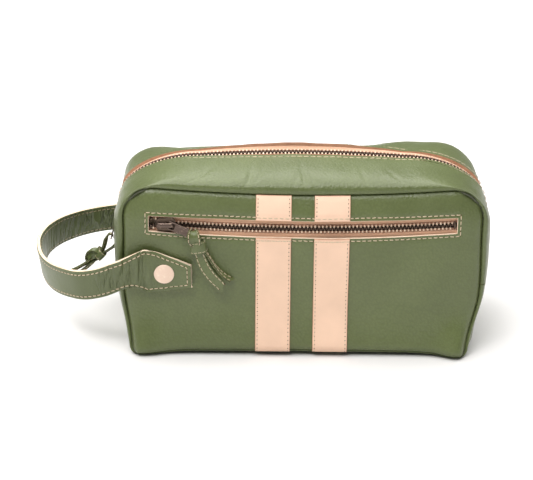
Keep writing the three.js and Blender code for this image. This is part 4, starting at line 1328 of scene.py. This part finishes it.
LAYER = 1.75
outline = fillet(strap_outline(), 0.5, 3)
for label, top, inner in (("outer", LAYER, False), ("inner", -LAYER, True)):
    build = Build()
    place = strap_surface(top, inner)
    if inner:
        leaf(build, outline, [], 1.4, place, LAYER - 0.04, 0.35, (0, 1, 0))
    else:
        leaf(build, outline * [1, -1], [], 1.4, mirrored(place), LAYER - 0.04, 0.35, (0, 1, 0))
    node = f"handle_{label}_layer"
    build.make(f"handle_{label}_leather", [SHADED_GREEN_FOLDED, EDGE], "handle", "green_leather", [node])

threads, holes = Build(), Build()
line = resample(fillet(strap_outline(-2.6), 0.8, 3), 1.0)
line = np.concatenate([line, line[:1]])
for top, inner in ((LAYER, False), (-LAYER, True)):
    p, n = surface(strap_surface(top, inner), line[:, 0], line[:, 1])
    away = strap_at(line[:, 0], STRAP_OUT) * (1 if top > 0 else -1)
    n = n * np.sign((n * away).sum(-1, keepdims=True))
    stitches(threads, holes, p, n, pitch=3.5, gap=1.1, radius=0.33, seed=50)
threads.make("handle_stitching", [THREAD], "handle", "natural_leather")
holes.make("handle_needle_holes", [HOLE], "handle", "green_leather")

# ---------------------------------------------------------------- press studs


def turned(build, profile, side, centre, sides=48):
    """A profile of (radius, distance from the bag's middle) turned about the stud's axis."""
    rows = []
    turn = np.arange(sides) * 2 * math.pi / sides
    for radius, y in profile:
        r = max(radius, 0.01)
        x, z = centre[0] + r * np.cos(turn), centre[2] + r * np.sin(turn)
        rows.append(np.stack([x, np.full(sides, side * y), z], 1))
    build.add(np.concatenate(rows), capped(len(rows), sides))


# profiles of (radius, distance out), counted from the panel's face and, for the cap, from the middle
FACE = PANEL_FLAT + 0.6
POST = [(0, -3.2), (1.6, -3.2), (1.6, -0.2), (5, -0.2), (5, 0.5), (3, 0.5), (2.7, 1), (3, 1.4), (2.4, 1.8)]
POST += [(0, 1.8)]
CLINCH = [(1.95, -2.6), (2.2, -3.1), (4.6, -3.0), (5, -2.5), (4.8, -2.2), (1.95, -2.2)]
RING = [(3.3, 0.6), (5.8, 0.6), (6.2, 1.1), (6.2, 1.75), (3.3, 1.75)]
CAP_Y = STRAP_Y + LAYER
CAP = [(0, 58.9), (1.7, 58.9), (1.7, CAP_Y), (6.6, CAP_Y - 0.05)]
CAP += [(6.9, CAP_Y + 0.15), (6.95, CAP_Y + 0.5), (6.7, CAP_Y + 0.85)]
CAP += [(r, CAP_Y + 1.55 - 0.75 * (r / 6.4) ** 2.2) for r in (6.25, 5.8, 5.1, 4.4, 3.5, 2.6, 1.6, 0.8, 0)]
for label, side in (("front", -1), ("back", 1)):
    for name, node, body, profile in (
        ("stud_post", "stud", "bag", POST),
        ("stud_clinch", "stud_washer", "bag", CLINCH),
        ("socket_ring", "socket", "handle", RING),
    ):
        build = Build()
        turned(build, fillet([(r, FACE + y) for r, y in profile], 0.2, 4, closed=False), side, STUD)
        build.make(f"{label}_{name}", [SNAP_STEEL], body, "snap_metal", [f"{label}_{node}"])
    build = Build()
    turned(build, CAP, side, STUD, 64)
    build.make(f"{label}_snap_cap", [SNAP_CAP], "handle", "snap_cap", [f"{label}_cap"])

# ---------------------------------------------------------------- sliders and pull tabs


def to_world(matrix, points):
    """Points of a local frame, in the bag's."""
    points = np.asarray(points, float)
    return points @ matrix[:3, :3].T + matrix[:3, 3]


def frame_matrix(x, y, z, origin):
    m = np.eye(4)
    m[:3, 0], m[:3, 1], m[:3, 2], m[:3, 3] = x, y, z, origin
    return m


PIVOT = np.array([2.0, 0, 3.35])  # the tab's cross bar in a slider's own frame

pocket_pivot, _ = joint_axis("pocket_tab_lift")
pocket_origin = pocket_pivot - np.array([PIVOT[0], -PIVOT[2], 0])
POCKET_SLIDER = frame_matrix((1, 0, 0), (0, 0, 1), (0, -1, 0), pocket_origin)
main_pivot, _ = joint_axis("main_tab_lift")
_, main_up = joint_axis("main_zip_slide")
main_out = np.cross(main_up, (0, 1, 0))
main_origin = main_pivot - PIVOT[0] * main_up - PIVOT[2] * main_out
MAIN_SLIDER = frame_matrix(main_up, (0, 1, 0), main_out, main_origin)


def both_sides(side, radius):
    """A closed outline drawn from its upper side, with rounded corners."""
    return fillet(np.array(side + [(x, -y) for x, y in side[::-1]])[::-1], radius, 4)


# a slider's plate is wide at the shoulders, waisted, and narrower at the tail
PLATE = both_sides([
    (-6.8, 2.2), (-6.2, 3.4), (-4.6, 4.1), (-1.5, 4.25), (2.0, 4.5), (4.6, 4.5), (6.2, 3.6), (6.8, 1.8),
], 0.8)


def slab(build, outline, low, high, matrix, crown=0.0, bevel=0.22, holes=(), spacing=0.7):
    """A flat plate with softened edges, between two heights of a local frame."""
    def place(a, b):
        height = high + crown * (1 - np.clip((b / 4.5) ** 2, 0, 1))
        return to_world(matrix, np.stack([a, b, height * np.ones_like(a)], -1))
    leaf(build, outline, list(holes), spacing, place, high - low, bevel, (0, 0, 0))


def block(build, low, high, matrix, bevel=0.2, mat=0):
    """A softened box in a local frame."""
    (x0, y0, z0), (x1, y1, z1) = low, high
    rows = []
    for z, cut in ((z0, bevel), (z0 + bevel, 0), (z1 - bevel, 0), (z1, bevel)):
        a0, a1, b0, b1 = x0 + cut, x1 - cut, y0 + cut, y1 - cut
        c = min(bevel, (x1 - x0) * 0.3, (y1 - y0) * 0.3)
        rows.append([
            (a0 + c, b0, z), (a1 - c, b0, z), (a1, b0 + c, z), (a1, b1 - c, z),
            (a1 - c, b1, z), (a0 + c, b1, z), (a0, b1 - c, z), (a0, b0 + c, z),
        ])
    build.add(to_world(matrix, np.array(rows).reshape(-1, 3)), capped(4, 8), mat)


def plate(build, matrix, crown=0.0):
    """One of a slider's two plates, with the turned-in flanges that grip the tape."""
    slab(build, PLATE, 1.5, 2.6, matrix, crown)
    for side in (-1, 1):
        block(build, (-5.6, side * 4.0 - 0.5, 0.75), (5.4, side * 4.0 + 0.5, 1.9), matrix, 0.15)


# the bridge over the pull's bar: its line in the slider's own frame, and half its section
BRIDGE = (
    (-6.0, 0, 2.4), (-5.95, 0, 3.6), (-5.2, 0, 4.6), (-3.6, 0, 4.95), (-1.2, 0, 5.05),
    (0.6, 0, 5.0), (2.6, 0, 4.85), (4.3, 0, 4.5), (5.0, 0, 3.7), (5.1, 0, 2.4),
)
BRIDGE_SIDE = ((0.5, 0.62), (1.1, 0.5), (1.6, 0.15), (1.8, -0.25), (1.65, -0.5))


def slider_front(matrix):
    build = Build()
    plate(build, matrix, crown=0.25)
    line, _ = spline(BRIDGE, 48)
    # the cheeks and the bridge take the lighter brass, a painted highlight
    for cheek in (-1, 1):
        block(build, (-5.6, cheek * 1.35 - 0.4, 2.4), (0.3, cheek * 1.35 + 0.4, 4.75), matrix, 0.2, 1)
    up = unit(np.cross(unit(np.gradient(line, axis=0)), Y))
    section = BRIDGE_SIDE + tuple((-a, b) for a, b in BRIDGE_SIDE[::-1])
    rings = [[p + Y * a + v * b for a, b in section] for p, v in zip(line, up)]
    verts = to_world(matrix, np.array(rings).reshape(-1, 3))
    build.add(verts, capped(len(rings), len(section)), 1)
    return build


for label, matrix in (("pocket", POCKET_SLIDER), ("main", MAIN_SLIDER)):
    body, node = f"{label}_runner", f"{label}_slider"
    slider_front(matrix).make(f"{node}_body", [DARK_BRASS, LIT_CROWN], body, "zip_metal", [node])
    build = Build()
    plate(build, matrix @ np.diag([1, -1, -1, 1]))
    build.make(f"{node}_under", [DARK_BRASS], body, "zip_metal", [f"{node}_back"])

pocket_hole, pocket_normal = joint_axis("pocket_tassel_swing")
main_hole, _ = joint_axis("main_tassel_swing")
pocket_along = pocket_hole - pocket_pivot
POCKET_TAB = frame_matrix(
    unit(pocket_along), unit(np.cross(pocket_normal, pocket_along)), unit(pocket_normal), pocket_pivot
)
main_along = unit(main_hole - main_pivot)
MAIN_TAB = frame_matrix(main_along, (0, 1, 0), np.cross(main_along, (0, 1, 0)), main_pivot)


def tab_piece(matrix):
    build = Build()
    outline = both_sides([(-0.55, 3.0), (3, 3.05), (10, 2.95), (18, 2.9), (20, 2.3), (21, 0.9)], 0.9)
    eye = both_sides([(0.55, 2.15), (4.3, 2.15)], 0.5)
    turn = np.linspace(0, 2 * math.pi, 24, endpoint=False)
    hole = np.stack([18 + 1.9 * np.cos(turn), 1.9 * np.sin(turn)], 1)
    slab(build, outline, -0.5, 0.5, matrix, bevel=0.16, holes=(eye, hole), spacing=0.6)
    slab(build, both_sides([(5.6, 1.5), (14.6, 1.3)], 0.8), 0.4, 0.62, matrix, bevel=0.1)
    return build


for label, matrix in (("pocket", POCKET_TAB), ("main", MAIN_TAB)):
    body = f"{label}_tab"
    tab_piece(matrix).make(f"{body}_plate", [LIT_CROWN], body, "zip_metal", [f"{label}_pull_tab"])

# ---------------------------------------------------------------- leather pulls


def strip_along(build, threads, holes, points, thickness, end_cut=0.0, both=True, seed=80, bulge=None):
    """A flat strip. Each point is x, y, z, the width there, and the direction of the width (x, y, z).

    end_cut slants the first end, and both puts stitches on both faces. bulge is the share of the length,
    counted from the last point, over which the strip is rounded, and how far its middle stands proud.
    """
    line, length = spline(points, max(40, int(len(points) * 9)))
    centre, width = line[:, :3], line[:, 3]
    along = unit(np.gradient(centre, axis=0))
    across = unit(line[:, 4:7] - along * (line[:, 4:7] * along).sum(-1, keepdims=True))
    normal = unit(np.cross(along, across))
    w = np.array([-1, -0.94, -0.7, -0.35, 0, 0.35, 0.7, 0.94, 1])
    s = np.linspace(0, length, len(line))
    crown = np.tile(0.12 * (1 - w**2) - np.where(np.abs(w) > 0.95, 0.12, 0), (len(line), 1))
    lift_back = np.zeros((len(line), len(w)))
    if bulge is not None:
        reach, height = bulge
        arch = height * smooth(s, length * (1 - reach), length * (1 - reach * 0.6))[:, None] * -(w**2)
        crown, lift_back = crown + arch, arch
    shift = bell(s, 0, 3.0)[:, None] * w * end_cut
    flat = centre[:, None] + across[:, None] * (w * width[:, None] / 2)[..., None]
    flat = flat + along[:, None] * shift[..., None]
    face = flat + normal[:, None] * (thickness / 2 + crown)[..., None]
    back_side = flat - normal[:, None] * (thickness / 2 - lift_back)[..., None]
    shell(build, face, back_side, (0, 1, 0), 0.12)
    keep = slice(2, -2)
    lift = thickness / 2 + 0.06
    for side in (-1, 1):
        from_middle = side * np.maximum(width / 2 - 1.0, 0.3)
        edge = centre + across * from_middle[:, None] + normal * lift_back[:, 1][:, None]
        for k, facing in enumerate((1, -1) if both else (1,)):
            row = ((edge + facing * normal * lift)[keep], facing * normal[keep])
            stitches(threads, holes, *row, pitch=3.4, gap=0.8, radius=0.27, seed=seed + k)


LAP_AT = 0.94  # the angle where a collar's end laps over its start


def collar(build, threads, low, high, across, half_wide, half_thick, wall, flare):
    """A leather band wound round the doubled strip, its end lapped over its start."""
    axis = unit(high - low)
    across = unit(across - axis * (across @ axis))
    normal = np.cross(axis, across)
    length = np.linalg.norm(high - low)
    heights = np.linspace(0, 1, 10)
    def ring_point(a, t, grow):
        lap = wall * 1.05 * smooth(a, 2 * math.pi - 0.9, 2 * math.pi)
        wide = half_wide + grow + lap + flare * (1 - t)
        thick = half_thick + grow + lap + flare * 0.5 * (1 - t)
        c, s = math.cos(a + LAP_AT), math.sin(a + LAP_AT)
        c, s = math.copysign(abs(c) ** 0.8, c), math.copysign(abs(s) ** 0.8, s)
        return low + axis * (length * t) + across * wide * c + normal * thick * s
    angles = np.linspace(0, 2 * math.pi * 1.06, 90)
    grown = [wall + 0.12 * math.sin(math.pi * t) for t in heights]
    face = np.array([[ring_point(a, t, grow) for t, grow in zip(heights, grown)] for a in angles])
    back_side = np.array([[ring_point(a, t, 0.0) for t in heights] for a in angles])
    shell(build, face, back_side, (0, 1, 0), 0.1)
    for t in (0.1, 0.9):
        p = np.array([ring_point(a, t, wall + 0.05) for a in angles])
        centre = low + axis * (length * t)
        stitches(threads, None, p, unit(p - centre), pitch=2.9, gap=0.7, radius=0.28, seed=91)


def offsets(origin, rows):
    """The rows' x, y, z are offsets from the origin."""
    return [tuple(np.asarray(origin) + np.array(r[:3])) + tuple(r[3:]) for r in rows]


def make_pull(name, node, body, build, band, threads, holes):
    leather = [SHADED_GREEN_STRAP, EDGE_GREEN]
    build.make(f"{name}_strip", leather, body, "green_leather", [node])
    band.make(f"{name}_collar", leather, body, "green_leather", [f"{node}_wrap"])
    threads.make(f"{name}_stitching", [THREAD], body, "natural_leather")
    holes.make(f"{name}_needle_holes", [HOLE], body, "green_leather")


# the pocket's pull: a strip doubled through the tab's hole, a collar, and two tails that curl right
X = (1.0, 0, 0)
front_tail = offsets(pocket_hole, [
    (20.4, -4.0, -37.0, 7.2, 0.8, 0, 0.55), (15.8, -4.2, -32.6, 7.4, 0.85, 0, 0.5),
    (11.2, -4.2, -27.2, 7.4, 0.9, 0, 0.38), (7.4, -3.9, -21.0, 7.4, 0.95, 0, 0.25),
    (4.9, -3.4, -14.8, 7.0, *X), (3.3, -3.4, -9.0, 6.4, *X), (2.2, -3.9, -5.2, 6.8, *X),
    (1.1, -5.4, -2.0, 9.2, *X), (0.6, -5.8, 0.3, 9.2, *X), (0.3, -4.7, 2.3, 7.6, *X),
    (0.1, -2.4, 3.1, 5.0, *X), (0, -0.3, 2.4, 3.4, *X), (0, 0.7, 0.8, 2.6, *X),
])
rear_tail = offsets(pocket_hole, [
    (26.2, -0.9, -33.0, 5.6, 0.3, 0.8, 0.1), (20.6, -1.6, -28.8, 5.8, 0.2, 0.85, 0.0),
    (15.8, -1.9, -23.4, 5.8, 0.1, 0.92, -0.15), (12.2, -1.9, -17.8, 5.4, 0.05, 0.93, -0.25),
    (8.8, -1.7, -12.4, 4.8, 0.1, 0.95, -0.2), (5.0, -1.3, -8.0, 4.6, 0.75, 0.55, 0),
    (2.6, -0.9, -5.4, 4.8, *X), (1.0, 0.6, -3.2, 4.0, *X), (0.3, 1.2, -0.9, 3.0, *X),
])
build, band, threads, holes = Build(), Build(), Build(), Build()
strip_along(build, threads, holes, front_tail, 1.2, 2.2, seed=82, bulge=(0.42, 1.5))
strip_along(build, threads, holes, rear_tail, 1.1, -1.6, seed=84)
low, high = pocket_hole + (4.1, -2.5, -11.5), pocket_hole + (2.8, -2.5, -3.4)
collar(band, threads, low, high, X, half_wide=4.0, half_thick=2.2, wall=1.0, flare=0.5)
make_pull("pocket_pull", "pocket_thong", "pocket_tassel", build, band, threads, holes)

# the top zip's pull: the same strip, knotted below its collar
BAND = (0.15, 0.98, 0.1)  # the directions of the strip's width, from the collar up and down
UPPER, LOWER = (0.43, 0.89, -0.12), (0.29, 0.89, -0.35)
TAIL = (0.25, 0.85, -0.45)
upper_leg = offsets(main_hole, [
    (-30, -14, -22.6, 5.0, *TAIL), (-24.5, -9.5, -21.6, 5.0, *TAIL), (-18.5, -4.6, -19.6, 5.0, *TAIL),
    (-14.2, -1.8, -17.6, 5.0, 0.4, 0.6, -0.6), (-11.2, -0.6, -15.6, 5.0, *BAND),
    (-7.4, 0, -11.8, 5.0, *UPPER), (-5.6, 0.2, -7.4, 5.0, *UPPER), (-4.3, 0.2, -2.6, 4.6, *UPPER),
    (-2.4, 0.2, 0.8, 3.8, *Y), (-0.2, 0.2, 1.2, 3.0, *Y), (0.7, 0.2, -0.4, 2.6, *Y),
])
lower_leg = offsets(main_hole, [
    (-26, -9, -27, 5.0, *TAIL), (-21, -5.6, -24.8, 5.0, *TAIL), (-15.6, -2.0, -21.4, 5.0, *TAIL),
    (-10.6, 0.3, -17.9, 5.0, *BAND), (-5.8, 0.1, -13.5, 5.0, *LOWER), (-2.4, 0.1, -11.0, 4.8, *LOWER),
    (1.4, 0.1, -8.0, 4.4, *LOWER), (2.9, 0.1, -3.6, 3.2, *Y), (1.6, 0.1, -0.8, 2.6, *Y),
])
knot = offsets(main_hole, [
    (-8.8, -1.6, -12.6, 4.4, 0.3, 0.9, 0.3), (-11.2, -2.6, -10.6, 4.6, 0.3, 0.9, 0.3),
    (-14.2, -2.8, -10.2, 4.8, 0.2, 0.95, 0.1), (-17.2, -2.6, -12.0, 4.8, 0.1, 0.95, -0.1),
    (-18.8, -2.0, -15.6, 4.8, 0.1, 0.95, -0.1), (-18.4, -1.2, -19.2, 4.8, -0.1, 0.9, -0.3),
    (-15.8, 0.6, -20.8, 4.6, -0.3, 0.8, -0.5), (-13.2, 2.2, -18.4, 4.4, -0.3, 0.8, -0.5),
    (-12.6, 1.8, -15.8, 4.0, -0.3, 0.8, -0.5),
])
tuck = offsets(main_hole, [
    (-12.2, -3.4, -16.4, 4.8, 0.7, 0.2, -0.7), (-13.2, -3.8, -13.9, 5.4, 0.8, 0.1, -0.5),
    (-15.4, -3.9, -12.9, 5.6, 0.5, 0.1, 0.8), (-17.6, -3.4, -15.6, 4.4, -0.2, 0.1, 0.95),
    (-17.2, -2.2, -18.4, 4.2, -0.8, 0.1, 0.5),
])
build, band, threads, holes = Build(), Build(), Build(), Build()
strip_along(build, threads, holes, upper_leg, 1.1, 2.0, seed=86)
strip_along(build, threads, holes, lower_leg, 1.1, -2.0, seed=88)
strip_along(build, threads, holes, knot, 1.1, both=False, seed=90)
strip_along(build, threads, holes, tuck, 1.1, both=False, seed=92)
low, high = main_hole + (-11.0, -0.5, -16.6), main_hole + (-6.6, -0.1, -12.2)
collar(band, threads, low, high, BAND, half_wide=3.4, half_thick=2.3, wall=1.1, flare=0.2)
make_pull("main_pull", "main_thong", "main_tassel", build, band, threads, holes)

# ---------------------------------------------------------------- floor, light and view


def stage_floor():
    size = 6.0
    mesh = bpy.data.meshes.new("floor")
    corners = [(-size, -size, 0), (size, -size, 0), (size, size, 0), (-size, size, 0)]
    mesh.from_pydata(corners, [], [(0, 1, 2, 3)])
    floor = bpy.data.objects.new("floor", mesh)
    floor.location.z = float(cad_box[0][2]) - 0.0001
    material, _ = new_material("white_paper", (0.78, 0.776, 0.776), 0.9, specular=0.1)
    mesh.materials.append(material)
    scene.collection.objects.link(floor)


def area_light(name, place, target, size, power, colour=(1, 1, 1)):
    data = bpy.data.lights.new(name, "AREA")
    data.shape = "RECTANGLE"
    data.size, data.size_y = size
    data.energy = power
    data.color = colour
    light = bpy.data.objects.new(name, data)
    light.location = place
    light.rotation_euler = (Vector(target) - Vector(place)).to_track_quat("-Z", "Y").to_euler()
    scene.collection.objects.link(light)


stage_floor()
area_light("softbox_top", (-0.2, 0.25, 1.6), (0, 0.1, 0), (3.0, 2.6), 82, (1.0, 0.985, 0.965))
area_light("softbox_front", (-0.55, -1.05, 1.6), (0, 0, 0.05), (0.8, 0.45), 12, (1.0, 0.97, 0.98))
world = bpy.data.worlds.new("world")
world.use_nodes = True
world.node_tree.nodes["Background"].inputs["Color"].default_value = (1.0, 0.99, 0.98, 1)
world.node_tree.nodes["Background"].inputs["Strength"].default_value = 0.17
scene.world = world
scene.view_settings.view_transform = "Standard"
scene.view_settings.look = "None"
